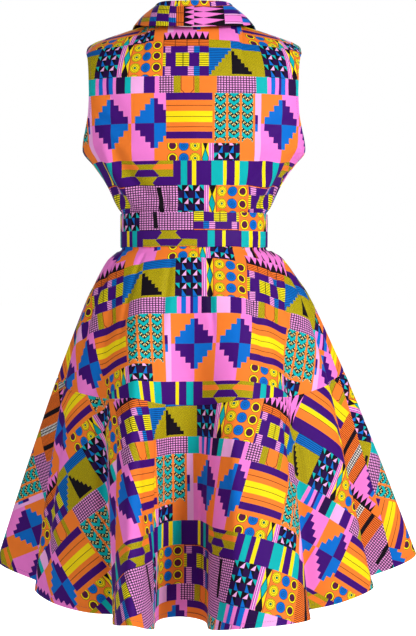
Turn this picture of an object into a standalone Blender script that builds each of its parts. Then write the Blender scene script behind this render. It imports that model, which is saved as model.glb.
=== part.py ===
# A sleeveless shirt dress, filled out as if it were worn: a bodice with a shirt collar and a V front,
# a wide tie belt and a full skirt of two tiers that hangs in flutes.  Every sewn piece is a thin closed shell.
# Metres, +Z up.  The front faces -Y and the wearer's left is +X.
# The origin lies on the centre plane, level with the neck points, above the ridge of the shoulders.
import math

import bmesh
import bpy
import numpy as np

# Cloth thicknesses
clothWall = 0.0015
collarWall = 0.0018
beltWall = 0.0024
seamGap = 0.0004

# Waist and belt
waistHalfWidth = 0.1352
waistHalfDepth = 0.0975
waistHeight = -0.3820
beltTop = -0.3495
beltBottom = -0.4125
beltClear = 0.0006

# Bodice
bladeHeight = -0.130
neckHalfWidth = 0.088
neckHeight = 0.008
shoulderSlope = 0.33
ridgeDepth = -0.010
seamDepth = 0.015
backNeckDepth = 0.086
backNeckDrop = 0.016
frontLap = 0.0075
lapDrop = 0.0024
bustRise = 0.010

# Skirt
skirtSlant = 0.709
tierSeam = 0.320
fluteStart = 0.045
flutePower = 1.35
meanLeft = 0.374
meanRight = 0.392
meanBack = 0.235
meanFront = 0.245
skirtColumns = 42

# Collar
neckShare = 0.60
collarClimb = 0.62
fallClear = 0.0042
fallRound = 0.0030

# Tie and buttons
knotWidth = 0.046
knotHeight = 0.056
knotDepth = 0.026
tailWidth = 0.050
tailLength = 0.300
tailTop = 0.0282
buttonRadius = 0.0057
buttonThick = 0.0026
buttonGap = 0.0004
buttonHeights = (-0.150, -0.208, -0.266, -0.324)

# Sections of the bodice from the waist up to the level of the shoulder blades.
# height, half width at the cut edge, half width of the body, back depth, front depth, squareness
bodiceLevels = (
    (-0.3820, 0.1352, 0.1352, 0.0975, 0.0975, 2.00),
    (-0.3490, 0.1352, 0.1352, 0.0975, 0.0975, 2.00),
    (-0.3400, 0.1412, 0.1412, 0.1025, 0.1040, 2.02),
    (-0.3150, 0.1557, 0.1557, 0.1080, 0.1130, 2.08),
    (-0.2850, 0.1745, 0.1745, 0.1130, 0.1230, 2.15),
    (-0.2550, 0.1935, 0.1935, 0.1180, 0.1320, 2.22),
    (-0.2320, 0.2085, 0.2085, 0.1210, 0.1370, 2.28),
    (-0.2150, 0.2055, 0.2100, 0.1230, 0.1380, 2.32),
    (-0.1940, 0.1995, 0.2120, 0.1245, 0.1370, 2.36),
    (-0.1640, 0.1935, 0.2150, 0.1255, 0.1320, 2.40),
    (-0.1300, 0.1915, 0.2180, 0.1250, 0.1220, 2.40),
)

# Half width of the cut edge above that level, by the share of the climb to the shoulder
shoulderEdge = (
    (0.00, 0.1915),
    (0.30, 0.1930),
    (0.60, 0.1960),
    (0.85, 0.1998),
    (1.00, 0.2015),
)

# How far the skirt has reached towards its mean hem, by the length along the cloth
skirtReach = (
    (0.0000, 0.000),
    (0.0312, 0.000),
    (0.0470, 0.048),
    (0.0690, 0.120),
    (0.1200, 0.236),
    (0.1550, 0.308),
    (0.2540, 0.458),
    (0.3510, 0.590),
    (0.4490, 0.710),
    (0.5440, 0.822),
    (0.6400, 0.928),
    (0.7090, 1.000),
)

# The hem seen from above, round the flutes from the wearer's left side by way of the back
# place, towards the wearer's left, towards the back
hemPoints = (
    ("left side, crest", 0.388, -0.105),
    ("left side, valley", 0.300, -0.060),
    ("left back, outer", 0.300, 0.005),
    ("left back, crest", 0.252, 0.082),
    ("left back, inner", 0.186, 0.124),
    ("left of centre, valley", 0.134, 0.124),
    ("left of centre, outer", 0.138, 0.232),
    ("left of centre, crest", 0.102, 0.322),
    ("left of centre, inner", 0.068, 0.245),
    ("centre recess, left", 0.066, 0.130),
    ("centre recess, floor", 0.022, 0.096),
    ("centre recess, right", -0.022, 0.130),
    ("right of centre, inner", -0.030, 0.222),
    ("right of centre, crest", -0.070, 0.284),
    ("right of centre, broad", -0.148, 0.274),
    ("right of centre, outer", -0.206, 0.205),
    ("right of centre, valley", -0.190, 0.110),
    ("right back, crest", -0.262, 0.088),
    ("right back, outer", -0.336, 0.034),
    ("right side, valley", -0.322, -0.040),
    ("right side, crest", -0.430, -0.070),
    ("right side, front", -0.400, -0.172),
    ("right front, valley", -0.322, -0.168),
    ("right front, outer", -0.318, -0.232),
    ("right front, crest", -0.270, -0.286),
    ("right front, inner", -0.212, -0.262),
    ("right front, inner valley", -0.178, -0.196),
    ("front right, outer", -0.142, -0.250),
    ("front right, crest", -0.094, -0.306),
    ("front right, inner", -0.042, -0.262),
    ("front centre, valley", -0.004, -0.206),
    ("front left, inner", 0.038, -0.260),
    ("front left, crest", 0.090, -0.302),
    ("front left, outer", 0.140, -0.252),
    ("left front, inner valley", 0.176, -0.198),
    ("left front, inner", 0.210, -0.258),
    ("left front, crest", 0.266, -0.288),
    ("left front, outer", 0.312, -0.236),
    ("left front, valley", 0.310, -0.170),
    ("left side, front", 0.364, -0.178),
)

# The collar's stand from the centre back (0) to its front end (1)
# share of the way, height, lean towards the neck, lean forwards
standShape = (
    (0.00, 0.0510, 0.00, 0.20),
    (0.30, 0.0450, 0.24, 0.14),
    (0.60, 0.0340, 0.42, 0.05),
    (0.80, 0.0260, 0.36, 0.10),
    (1.00, 0.0200, 0.30, 0.20),
)

# The collar's fall: how far under the stand's top it starts, and where its outer edge lies
# share of the way, start, across, towards the back, height
fallShape = (
    (0.00, 0.0130, 0.000, 0.1060, -0.0135),
    (0.20, 0.0120, 0.048, 0.0985, -0.0115),
    (0.40, 0.0080, 0.089, 0.0670, -0.0060),
    (0.60, 0.0045, 0.111, 0.0160, 0.0040),
    (0.78, 0.0045, 0.118, -0.0400, -0.0020),
    (0.92, 0.0045, 0.116, -0.0800, -0.0280),
    (1.00, 0.0045, 0.104, -0.1030, -0.0600),
)

# Colour, roughness of each kind of piece
looks = {
    "backCloth": ((0.20, 0.10, 0.42, 1.0), 0.75),
    "frontCloth": ((0.84, 0.42, 0.16, 1.0), 0.75),
    "collarCloth": ((0.86, 0.48, 0.70, 1.0), 0.75),
    "beltCloth": ((0.16, 0.60, 0.62, 1.0), 0.75),
    "skirtBackCloth": ((0.86, 0.46, 0.20, 1.0), 0.75),
    "skirtFrontCloth": ((0.20, 0.36, 0.72, 1.0), 0.75),
    "buttonFace": ((0.10, 0.08, 0.12, 1.0), 0.35),
}


def clearScene():
    # Removes whatever the file starts with
    for thing in list(bpy.data.objects):
        bpy.data.objects.remove(thing)


def makeMaterial(name):
    # One Principled material with the colour and roughness of the table
    colour, roughness = looks[name]
    material = bpy.data.materials.new(name)
    material.use_nodes = True
    surface = material.node_tree.nodes["Principled BSDF"]
    surface.inputs["Base Color"].default_value = colour
    surface.inputs["Roughness"].default_value = roughness
    surface.inputs["Metallic"].default_value = 0.0
    return material


def unit(vectors):
    # Vectors brought to length one
    return vectors / np.maximum(np.linalg.norm(vectors, axis=-1, keepdims=True), 1e-12)


def between(places, values, wanted):
    # Smooth curve through the rows of a table.  Each span is a cubic whose slope at a row is the
    # harmonic mean of the slopes on both sides of it, or nothing where they differ in sign
    places = np.asarray(places, float)
    values = np.asarray(values, float)
    wanted = np.clip(wanted, places[0], places[-1])
    step = np.diff(places)
    slope = np.diff(values) / step
    before = slope[:-1]
    after = slope[1:]
    agree = before * after > 0
    mean = np.where(agree, 2 * before * after / np.where(agree, before + after, 1), 0)
    slopes = np.concatenate([slope[:1], mean, slope[-1:]])
    row = np.clip(np.searchsorted(places, wanted, side="right") - 1, 0, len(step) - 1)
    share = (wanted - places[row]) / step[row]
    rise = 3 * share ** 2 - 2 * share ** 3
    lead = share ** 3 - 2 * share ** 2 + share
    trail = share ** 3 - share ** 2
    level = values[row] * (1 - rise) + values[row + 1] * rise
    return level + (slopes[row] * lead + slopes[row + 1] * trail) * step[row]


def section(height):
    # Cut half width, body half width, back depth, front depth and squareness at a height
    table = np.array(bodiceLevels)
    return [between(table[:, 0], table[:, column], height) for column in range(1, 6)]


def atTurn(turn, body, square):
    # How far across the oval a point lies at a turn round it
    return np.sign(turn) * body * np.abs(np.sin(turn)) ** (2 / square)


def turnOf(across, body, square):
    # Turn round the oval of a point that lies so far across
    share = np.clip(np.abs(across) / body, 0, 1)
    return np.sign(across) * np.arcsin(share ** (square / 2))


def ovalDepth(across, body, square):
    # Share of the full depth that is left at a place across: (1 - (x / a) ^ n) ^ (1 / n)
    share = np.clip(np.abs(across) / body, 0, 1)
    return (1 - share ** square) ** (1 / square)


def bust(across, height):
    # Two soft rises of the front
    side = np.exp(-((np.abs(across) - 0.082) / 0.052) ** 2)
    return bustRise * side * np.exp(-((height + 0.190) / 0.060) ** 2)


def ridgeTop(across):
    # Height of the shoulder ridge: level inside the neck, then falling evenly and rounded at the tip
    out = np.maximum(np.abs(across) - neckHalfWidth, 0)
    tip = np.clip((np.abs(across) - 0.180) / 0.022, 0, 1)
    return neckHeight - out * shoulderSlope - 0.006 * tip ** 2


def frontReach(across):
    # How far the front stands before the ridge at the level of the shoulder blades
    edge, body, back, front, square = section(bladeHeight)
    return front * ovalDepth(across, body, square) + ridgeDepth


def seamTurn(across):
    # Angle over the ridge at which the front meets the shoulder seam
    return np.arccos(-(seamDepth - ridgeDepth) / frontReach(across))


def frontUpper(across, climb):
    # Front above the shoulder blades: an arc up to the ridge and a little over it to the seam
    angle = climb * (seamTurn(across) - seamGap / frontReach(across))
    z = bladeHeight + (ridgeTop(across) - bladeHeight) * np.sin(angle)
    y = ridgeDepth - frontReach(across) * np.cos(angle) - bust(across, z)
    return np.stack([across + 0 * y, y, z], -1)


def frontAt(across, height):
    # Depth of the front above the shoulder blades at a place given by its width and height
    rise = (height - bladeHeight) / (ridgeTop(across) - bladeHeight)
    cosine = np.sqrt(1 - np.clip(rise, 0, 1) ** 2)
    return ridgeDepth - frontReach(across) * cosine - bust(across, height)


def backUpper(across, climb):
    # Back above the shoulder blades: an arc over the shoulder, or a steeper one to the neckline
    edge, body, back, front, square = section(bladeHeight)
    neck = np.clip(1 - (np.abs(across) / neckHalfWidth) ** 2, 0, 1)
    topDepth = seamDepth + seamGap + (backNeckDepth - seamDepth) * np.sqrt(neck)
    seamTop = bladeHeight + (ridgeTop(across) - bladeHeight) * np.sin(seamTurn(across))
    topHeight = seamTop - backNeckDrop * neck
    turn = np.radians(70.0 - 30.0 * neck)
    angle = climb * turn
    depth = back * ovalDepth(across, body, square)
    share = (np.cos(angle) - np.cos(turn)) / (1 - np.cos(turn))
    y = topDepth + (depth - topDepth) * share
    z = bladeHeight + (topHeight - bladeHeight) * np.sin(angle) / np.sin(turn)
    return np.stack([across + 0 * y, y, z], -1)


def lowerRow(turns, height, side):
    # One row of the bodice below the shoulder blades; side is 1 for the back and -1 for the front
    edge, body, back, front, square = section(height)
    across = atTurn(turns, body, square)
    depth = ovalDepth(across, body, square)
    if side > 0:
        y = back * depth
    else:
        y = -front * depth - bust(across, height) * depth
    return np.stack([across, y, np.full_like(across, height)], -1)


def levelHeights():
    # Heights of the rows below the shoulder blades, the lowest just above the waist seam
    heights = np.array(bodiceLevels)[:, 0]
    heights[0] = heights[0] + seamGap
    return heights


def edgeTurn(height):
    # Turn round the oval at which the armhole or the side seam cuts the cloth
    edge, body, back, front, square = section(height)
    return turnOf(edge, body, square)


def upperEdge(climb):
    # Half width of the cut edge above the shoulder blades
    table = np.array(shoulderEdge)
    return between(table[:, 0], table[:, 1], climb)


def backBodice():
    # Middle surface of the back, from the waist up to the neckline and the shoulder seams
    edge, body, back, front, square = section(bladeHeight)
    whole = turnOf(upperEdge(1.0), body, square)
    neck = float(turnOf(neckHalfWidth, body, square) / whole)
    half = np.concatenate([np.linspace(0, neck, 4), np.linspace(neck, 1, 8)[1:]])
    columns = np.concatenate([-half[:0:-1], half])
    rows = [lowerRow(columns * edgeTurn(height), height, 1) for height in levelHeights()]
    for climb in np.linspace(0, 1, 7)[1:]:
        turns = columns * turnOf(upperEdge(climb), body, square)
        rows.append(backUpper(atTurn(turns, body, square), climb))
    return np.array(rows)


def frontInner(climb):
    # The V of the front: a straight line from the lap up to the neck point, then along the ridge
    angle = np.minimum(climb * seamTurn(neckHalfWidth), math.pi / 2)
    return -frontLap + (neckHalfWidth + frontLap) * np.sin(angle)


def frontBodice(side, drop):
    # Middle surface of one front; side is 1 for the wearer's left and -1 for the right, and drop is
    # how far its edge lies under the other front
    edge, body, back, front, square = section(bladeHeight)
    columns = np.concatenate([[0, 0.035, 0.09], np.linspace(0.18, 1, 8)])
    rows = []
    for height in levelHeights():
        edge, body, back, front, square = section(height)
        inner = turnOf(-frontLap, body, square)
        outer = turnOf(edge, body, square)
        rows.append(lowerRow(inner + (outer - inner) * columns, height, -1))
    edge, body, back, front, square = section(bladeHeight)
    for climb in np.linspace(0, 1, 8)[1:]:
        inner = turnOf(frontInner(climb), body, square)
        outer = turnOf(upperEdge(climb), body, square)
        turns = inner + (outer - inner) * columns
        rows.append(frontUpper(atTurn(turns, body, square), climb))
    points = np.array(rows)
    near = 1 - np.clip((points[..., 0] - 0.012) / 0.022, 0, 1)
    low = np.clip((bladeHeight + 0.012 - points[..., 2]) / 0.012, 0, 1)
    points[..., 1] += drop * near ** 2 * (3 - 2 * near) * low
    points[..., 0] *= side
    return points


def ring(across, back, front, count):
    # Oval seen from above, from the wearer's left by way of the back
    turn = np.linspace(-math.pi / 6, 2 * math.pi - math.pi / 6, count, endpoint=False)
    left, right = across
    x = np.where(np.cos(turn) > 0, left, right) * np.cos(turn)
    y = np.where(np.sin(turn) > 0, back, front) * np.sin(turn)
    return np.stack([x, y], -1)


def hemLine():
    # Closed smooth curve through the hem points, rounded off by averaging neighbours
    points = np.array([row[1:] for row in hemPoints])
    share = np.linspace(0, 1, 24, endpoint=False)[None, :, None]
    before = np.roll(points, 1, 0)[:, None]
    here = points[:, None]
    after = np.roll(points, -1, 0)[:, None]
    later = np.roll(points, -2, 0)[:, None]
    first = (after - before) * share
    second = (2 * before - 5 * here + 4 * after - later) * share ** 2
    third = (3 * here - before - 3 * after + later) * share ** 3
    curve = (0.5 * (2 * here + first + second + third)).reshape(-1, 2)
    for turn in range(30):
        curve = (np.roll(curve, 1, 0) + 2 * curve + np.roll(curve, -1, 0)) / 4
    return curve


def along(curve, shares):
    # Points at shares of a closed curve's length, counted from where it crosses the centre back
    closed = np.vstack([curve, curve[:1]])
    length = np.concatenate([[0], np.cumsum(np.linalg.norm(np.diff(closed, axis=0), axis=1))])
    crosses = (closed[:-1, 0] >= 0) & (closed[1:, 0] < 0) & (closed[:-1, 1] > 0)
    row = int(np.argmax(crosses))
    part = closed[row, 0] / (closed[row, 0] - closed[row + 1, 0])
    start = length[row] + part * (length[row + 1] - length[row])
    places = (np.asarray(shares) * length[-1] + start) % length[-1]
    return np.stack([np.interp(places, length, closed[:, axis]) for axis in (0, 1)], -1)


def skirtSurface(shares, lengths):
    # Middle surface of the skirt.  A point goes from the waist oval to the mean hem by the reach
    # table, and the flutes grow from the hem's own curve with a power of the length.  The height
    # follows from each thread keeping its length: dz^2 = ds^2 - dx^2 - dy^2
    waist = along(ring((waistHalfWidth, waistHalfWidth), waistHalfDepth, waistHalfDepth, 2880), shares)
    mean = along(ring((meanLeft, meanRight), meanBack, meanFront, 2880), shares)
    hem = along(hemLine(), shares)
    table = np.array(skirtReach)
    reach = between(table[:, 0], table[:, 1], lengths)[:, None, None]
    grown = np.clip((lengths - fluteStart) / (skirtSlant - fluteStart), 0, 1) ** flutePower
    flat = waist + (mean - waist) * reach + (hem - mean) * grown[:, None, None]
    across = np.sum(np.diff(flat, axis=0) ** 2, -1)
    drop = np.sqrt(np.maximum(np.diff(lengths)[:, None] ** 2 - across, 1e-8))
    height = waistHeight - seamGap - np.vstack([np.zeros(len(shares)), np.cumsum(drop, 0)])
    return np.concatenate([flat, height[..., None]], -1)


def tierLengths():
    # Rows of the upper tier, close together where it leaves the belt, and of the lower tier.  They
    # stay half a gap clear of the seam between them
    close = [0, 0.0312, 0.039, 0.050, 0.069, 0.100, 0.150]
    upper = np.concatenate([close, np.linspace(0.150, tierSeam - seamGap / 2, 4)[1:]])
    lower = np.linspace(tierSeam + seamGap / 2, skirtSlant, 6)
    return upper, lower


def buildSkirt(side, shares, material):
    # The upper and the lower tier of one half of the skirt
    upper, lower = tierLengths()
    cloth = backedOff(skirtSurface(shares, np.concatenate([upper, lower])), seamGap)
    buildShell("skirt_upper_" + side, cloth[:len(upper)], clothWall, material)
    buildShell("skirt_lower_" + side, cloth[len(upper):], clothWall, material)


def normals(points):
    # Normal of a grid of points: its direction down the rows crossed with the one along them
    return unit(np.cross(np.gradient(points, axis=0), np.gradient(points, axis=1)))


def backedOff(points, gap):
    # The grid with its first and last column drawn in, to leave a gap at the seams
    moved = points.copy()
    moved[:, 0] += gap * unit(points[:, 1] - points[:, 0])
    moved[:, -1] += gap * unit(points[:, -2] - points[:, -1])
    return moved


def buildMesh(name, corners, faces, material, smooth):
    # A closed mesh with its faces pointing out
    mesh = bpy.data.meshes.new(name)
    mesh.from_pydata([tuple(corner) for corner in corners], [], [tuple(face) for face in faces])
    work = bmesh.new()
    work.from_mesh(mesh)
    bmesh.ops.recalc_face_normals(work, faces=work.faces)
    work.to_mesh(mesh)
    work.free()
    if smooth:
        mesh.shade_smooth()
        mesh.set_sharp_from_angle(angle=math.radians(40))
    mesh.materials.append(makeMaterial(material))
    thing = bpy.data.objects.new(name, mesh)
    bpy.context.collection.objects.link(thing)
    return thing


def buildShell(name, middle, wall, material, ringed=False):
    # Thin closed shell half a wall to each side of a grid; a ringed grid closes on itself
    if ringed:
        wrapped = np.concatenate([middle[:, -1:], middle, middle[:, :1]], axis=1)
        normal = normals(wrapped)[:, 1:-1]
    else:
        normal = normals(middle)
    rows, columns = middle.shape[:2]
    corners = np.concatenate([middle + normal * wall / 2, middle - normal * wall / 2])
    corners = corners.reshape(-1, 3)
    below = rows * columns
    last = columns if ringed else columns - 1
    faces = []
    for row in range(rows - 1):
        for column in range(last):
            a = row * columns + column
            b = row * columns + (column + 1) % columns
            c = a + columns
            d = b + columns
            faces += [(a, b, d), (a, d, c)]
            faces += [(below + a, below + d, below + b), (below + a, below + c, below + d)]
    for column in range(last):
        for row in (0, rows - 1):
            a = row * columns + column
            b = row * columns + (column + 1) % columns
            faces += [(a, b, below + b), (a, below + b, below + a)]
    if not ringed:
        for row in range(rows - 1):
            for column in (0, columns - 1):
                a = row * columns + column
                c = a + columns
                faces += [(a, c, below + c), (a, below + c, below + a)]
    return buildMesh(name, corners, faces, material, True)


def neckLine(shares):
    # Edge of the cloth round the neck: the back neckline up to the neck points, then each front
    # edge down to where the collar ends.  A share of 0 is the centre back, 1 and -1 the front ends
    size = np.abs(shares)
    side = np.where(shares < 0, -1.0, 1.0)
    across = neckHalfWidth * np.sin(np.clip(size / neckShare, 0, 1) * math.pi / 2)
    behind = backUpper(across, 1.0)
    down = np.clip((size - neckShare) / (1 - neckShare), 0, 1)
    climb = 1 - down * collarClimb
    before = frontUpper(frontInner(climb), climb)
    points = np.where((size <= neckShare)[:, None], behind, before)
    points[:, 0] *= side
    return points


def collarFrame(shares):
    # Foot of the stand, its direction upwards and its height
    edge = neckLine(shares)
    size = np.abs(shares)
    side = np.where(shares < 0, -1.0, 1.0)
    inward = unit(np.stack([-edge[:, 0], -np.maximum(edge[:, 1], 0), 0 * size], -1))
    foot = edge + inward * 0.0015
    foot[:, 2] += 0.0015
    table = np.array(standShape)
    lean = np.stack([between(table[:, 0], table[:, column], size) for column in (2, 3)], -1)
    upward = unit(np.stack([-side * lean[:, 0], -lean[:, 1], np.ones_like(size)], -1))
    tall = between(table[:, 0], table[:, 1], size)
    return foot, upward, tall


def collarStand():
    # Middle surface of the stand, from its foot to its top
    shares = np.linspace(-1, 1, 31)
    foot, upward, tall = collarFrame(shares)
    rows = [foot + upward * (tall * part)[:, None] for part in (0, 0.5, 1)]
    return np.array(rows)


def collarFall():
    # Middle surface of the fall, from the stand's outer face down to its own edge
    shares = np.linspace(-1, 1, 35)
    size = np.abs(shares)
    side = np.where(shares < 0, -1.0, 1.0)
    foot, upward, tall = collarFrame(shares)
    table = np.array(fallShape)
    begin = between(table[:, 0], table[:, 1], size)
    edge = np.stack([between(table[:, 0], table[:, column], size) for column in (2, 3, 4)], -1)
    edge[:, 0] *= side
    top = foot + upward * (tall - begin)[:, None]
    away = unit(np.cross(upward, np.gradient(top, axis=0)))
    top = top + away * (collarWall + seamGap)
    rows = []
    for part in np.linspace(0, 1, 5):
        row = top + (edge - top) * part
        row = row + away * fallRound * math.sin(math.pi * part)
        limit = frontAt(row[:, 0], row[:, 2]) - fallClear
        before = (row[:, 1] < ridgeDepth) & (row[:, 2] < ridgeTop(row[:, 0]))
        row[:, 1] = np.where(before, np.minimum(row[:, 1], limit), row[:, 1])
        rows.append(row)
    return np.array(rows)


def sampled(grid, column, row):
    # Point of a grid at places between its columns and rows, by linear mixing
    column = np.clip(column, 0, grid.shape[1] - 1.001)
    row = np.clip(row, 0, grid.shape[0] - 1.001)
    c = column.astype(int)
    r = row.astype(int)
    across = (column - c)[..., None]
    down = (row - r)[..., None]
    top = grid[r, c] * (1 - across) + grid[r, c + 1] * across
    low = grid[r + 1, c] * (1 - across) + grid[r + 1, c + 1] * across
    return top * (1 - down) + low * down


def beltTail(side):
    # One hanging end of the belt: it leaves the knot and lies on the front of the skirt
    shares = np.linspace(0.40, 0.60, 81)
    lengths = np.linspace(0, 0.40, 81)
    skirt = skirtSurface(shares, lengths)
    normal = normals(skirt)
    down = np.linspace(0, 1, 15)[:, None]
    over = np.linspace(-0.5, 0.5, 5)[None, :]
    length = tailTop + tailLength * down + 0 * over
    spread = 0.008 + 0.060 * down ** 0.8
    width = 0.012 + (tailWidth - 0.012) * np.clip(down / 0.30, 0, 1) ** 0.8
    place = side * spread + width * over
    girth = np.interp(length, lengths, np.linalg.norm(np.diff(skirt, axis=1), axis=2).sum(1) / 0.2)
    column = (0.5 + place / girth - 0.40) / 0.20 * 80
    row = length / 0.40 * 80
    lift = 0.0042 + 0.0138 * np.exp(-(length - tailTop) / 0.030)
    return sampled(skirt, column, row) + sampled(normal, column, row) * lift[..., None]


def beltBand():
    # Middle surface of the belt, a ring round the waist
    clear = clothWall / 2 + beltClear + beltWall / 2
    shares = np.linspace(-0.5, 0.5, 72, endpoint=False)
    width = waistHalfWidth + clear
    depth = waistHalfDepth + clear
    line = along(ring((width, width), depth, depth, 2880), shares)
    rows = []
    for height in (beltTop, beltBottom):
        rows.append(np.column_stack([line, np.full(len(line), height)]))
    return np.array(rows)


def beltKnot():
    # A rounded block before the belt, a little wider at its middle than at its ends
    work = bmesh.new()
    bmesh.ops.create_cube(work, size=1.0)
    bmesh.ops.subdivide_edges(work, edges=work.edges, cuts=1, use_grid_fill=True)
    for corner in work.verts:
        narrow = 1 - 0.30 * abs(corner.co.z) * 2
        corner.co.x *= knotWidth * narrow
        corner.co.y *= knotDepth
        corner.co.z *= knotHeight
    creases = [edge for edge in work.edges if edge.calc_face_angle(0) > 0.6]
    bmesh.ops.bevel(work, geom=creases, offset=0.008, segments=3, affect="EDGES", profile=0.5)
    bmesh.ops.triangulate(work, faces=work.faces)
    mesh = bpy.data.meshes.new("belt_knot")
    work.to_mesh(mesh)
    work.free()
    mesh.shade_smooth()
    mesh.materials.append(makeMaterial("beltCloth"))
    thing = bpy.data.objects.new("belt_knot", mesh)
    front = waistHalfDepth + clothWall / 2 + beltClear + beltWall
    thing.location = (0, -(front + seamGap + knotDepth / 2), (beltTop + beltBottom) / 2)
    bpy.context.collection.objects.link(thing)
    return thing


def buildButton(name, height):
    # A flat round button that lies on the outer front, turned to the slope of the cloth there
    work = bmesh.new()
    bmesh.ops.create_cone(work, cap_ends=True, segments=14, radius1=buttonRadius,
                          radius2=buttonRadius, depth=buttonThick)
    rims = [edge for edge in work.edges if edge.calc_face_angle(0) > 1]
    bmesh.ops.bevel(work, geom=rims, offset=0.0006, segments=1, affect="EDGES")
    mesh = bpy.data.meshes.new(name)
    work.to_mesh(mesh)
    work.free()
    mesh.materials.append(makeMaterial("buttonFace"))
    thing = bpy.data.objects.new(name, mesh)
    zero = np.array([0.0])
    upper = lowerRow(zero, height + 0.004, -1)[0, 1]
    lower = lowerRow(zero, height - 0.004, -1)[0, 1]
    slope = math.atan2(upper - lower, 0.008)
    out = clothWall / 2 + buttonGap + buttonThick / 2
    y = (upper + lower) / 2 - out * math.cos(slope)
    z = height + out * math.sin(slope)
    thing.location = (0, y, z)
    thing.rotation_euler = (math.pi / 2 - slope, 0, 0)
    bpy.context.collection.objects.link(thing)
    return thing


clearScene()
buildShell("bodice_back", backedOff(backBodice(), seamGap), clothWall, "backCloth")
left = frontBodice(1, lapDrop)
left[:, -1] += seamGap * unit(left[:, -2] - left[:, -1])
right = frontBodice(-1, 0.0)
right[:, -1] += seamGap * unit(right[:, -2] - right[:, -1])
buildShell("bodice_front_left", left, clothWall, "frontCloth")
buildShell("bodice_front_right", right, clothWall, "frontCloth")
buildShell("collar_stand", collarStand(), collarWall, "collarCloth")
buildShell("collar_fall", collarFall(), collarWall, "collarCloth")
buildShell("belt_band", beltBand(), beltWall, "beltCloth", ringed=True)
beltKnot()
buildShell("belt_tail_left", beltTail(1), beltWall, "beltCloth")
buildShell("belt_tail_right", beltTail(-1), beltWall, "beltCloth")
buildSkirt("back", np.linspace(-0.25, 0.25, skirtColumns + 1), "skirtBackCloth")
buildSkirt("front", np.linspace(0.25, 0.75, skirtColumns + 1), "skirtFrontCloth")
for number, height in enumerate(buttonHeights):
    buildButton("button_" + str(number + 1), height)
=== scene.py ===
# The looks of a sleeveless shirt dress in a wax print of patchwork blocks, filled out as if worn.
# Metres, +Z up, the front faces -Y and the wearer's left is +X.  Each sewn piece is a thin shell
# worked out on a grid, with its folds listed one by one, and its UV map holds the flat cloth in
# metres.
import math

import bpy
import numpy as np
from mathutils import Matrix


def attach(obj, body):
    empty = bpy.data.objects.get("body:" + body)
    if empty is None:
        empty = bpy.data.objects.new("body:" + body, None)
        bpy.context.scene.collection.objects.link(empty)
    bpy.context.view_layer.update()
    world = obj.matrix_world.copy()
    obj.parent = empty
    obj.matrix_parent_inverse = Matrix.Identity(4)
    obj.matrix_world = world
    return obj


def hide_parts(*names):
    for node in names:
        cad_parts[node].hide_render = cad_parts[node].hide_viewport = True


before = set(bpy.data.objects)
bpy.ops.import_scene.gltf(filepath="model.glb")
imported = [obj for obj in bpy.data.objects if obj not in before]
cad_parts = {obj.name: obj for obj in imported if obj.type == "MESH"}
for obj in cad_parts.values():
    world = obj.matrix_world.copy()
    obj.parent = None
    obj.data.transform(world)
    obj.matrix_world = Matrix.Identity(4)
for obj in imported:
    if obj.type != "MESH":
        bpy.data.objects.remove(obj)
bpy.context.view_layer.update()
print("frame loaded")


# Curves and vectors

def unit(vectors):
    # Vectors brought to length one
    return vectors / np.maximum(np.linalg.norm(vectors, axis=-1, keepdims=True), 1e-12)


def eased(low, high, value):
    # 0 below low and 1 above high, 3 t^2 - 2 t^3 between them
    t = np.clip((value - low) / (high - low), 0, 1)
    return t * t * (3 - 2 * t)


def between(places, values, wanted):
    # Smooth curve through the rows of a table: cubic spans whose slope at a row is the harmonic
    # mean of the slopes on both sides of it, or nothing where they differ in sign
    places = np.asarray(places, float)
    values = np.asarray(values, float)
    wanted = np.clip(wanted, places[0], places[-1])
    step = np.diff(places)
    slope = np.diff(values) / step
    before = slope[:-1]
    after = slope[1:]
    agree = before * after > 0
    mean = np.where(agree, 2 * before * after / np.where(agree, before + after, 1), 0)
    slopes = np.concatenate([slope[:1], mean, slope[-1:]])
    row = np.clip(np.searchsorted(places, wanted, side="right") - 1, 0, len(step) - 1)
    share = (wanted - places[row]) / step[row]
    rise = 3 * share ** 2 - 2 * share ** 3
    lead = share ** 3 - 2 * share ** 2 + share
    trail = share ** 3 - share ** 2
    level = values[row] * (1 - rise) + values[row + 1] * rise
    return level + (slopes[row] * lead + slopes[row + 1] * trail) * step[row]


def tableAt(table, place):
    # A table's other columns, read at places given in its first one
    places, *columns = np.array(table).T
    return [between(places, column, place) for column in columns]


def pointsAt(run, points, places):
    # Points at distances along a line whose points lie at the distances in run
    return np.stack([np.interp(places, run, column) for column in points.T], -1)


def normals(points):
    # Normal of a grid: its direction down the rows crossed with the one along them
    return unit(np.cross(np.gradient(points, axis=0), np.gradient(points, axis=1)))


def steps(points, axis):
    # Distance run along the rows or the columns of a grid, from the first one
    run = np.linalg.norm(np.diff(points, axis=axis), axis=-1)
    zero = np.zeros_like(np.take(run, [0], axis=axis))
    return np.concatenate([zero, np.cumsum(run, axis=axis)], axis=axis)


def sampled(grid, column, row):
    # Point of a grid at places between its columns and rows, by linear mixing
    column = np.clip(column, 0, grid.shape[1] - 1.001)
    row = np.clip(row, 0, grid.shape[0] - 1.001)
    c = column.astype(int)
    r = row.astype(int)
    across = (column - c)[..., None]
    down = (row - r)[..., None]
    top = grid[r, c] * (1 - across) + grid[r, c + 1] * across
    low = grid[r + 1, c] * (1 - across) + grid[r + 1, c + 1] * across
    return top * (1 - down) + low * down


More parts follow.
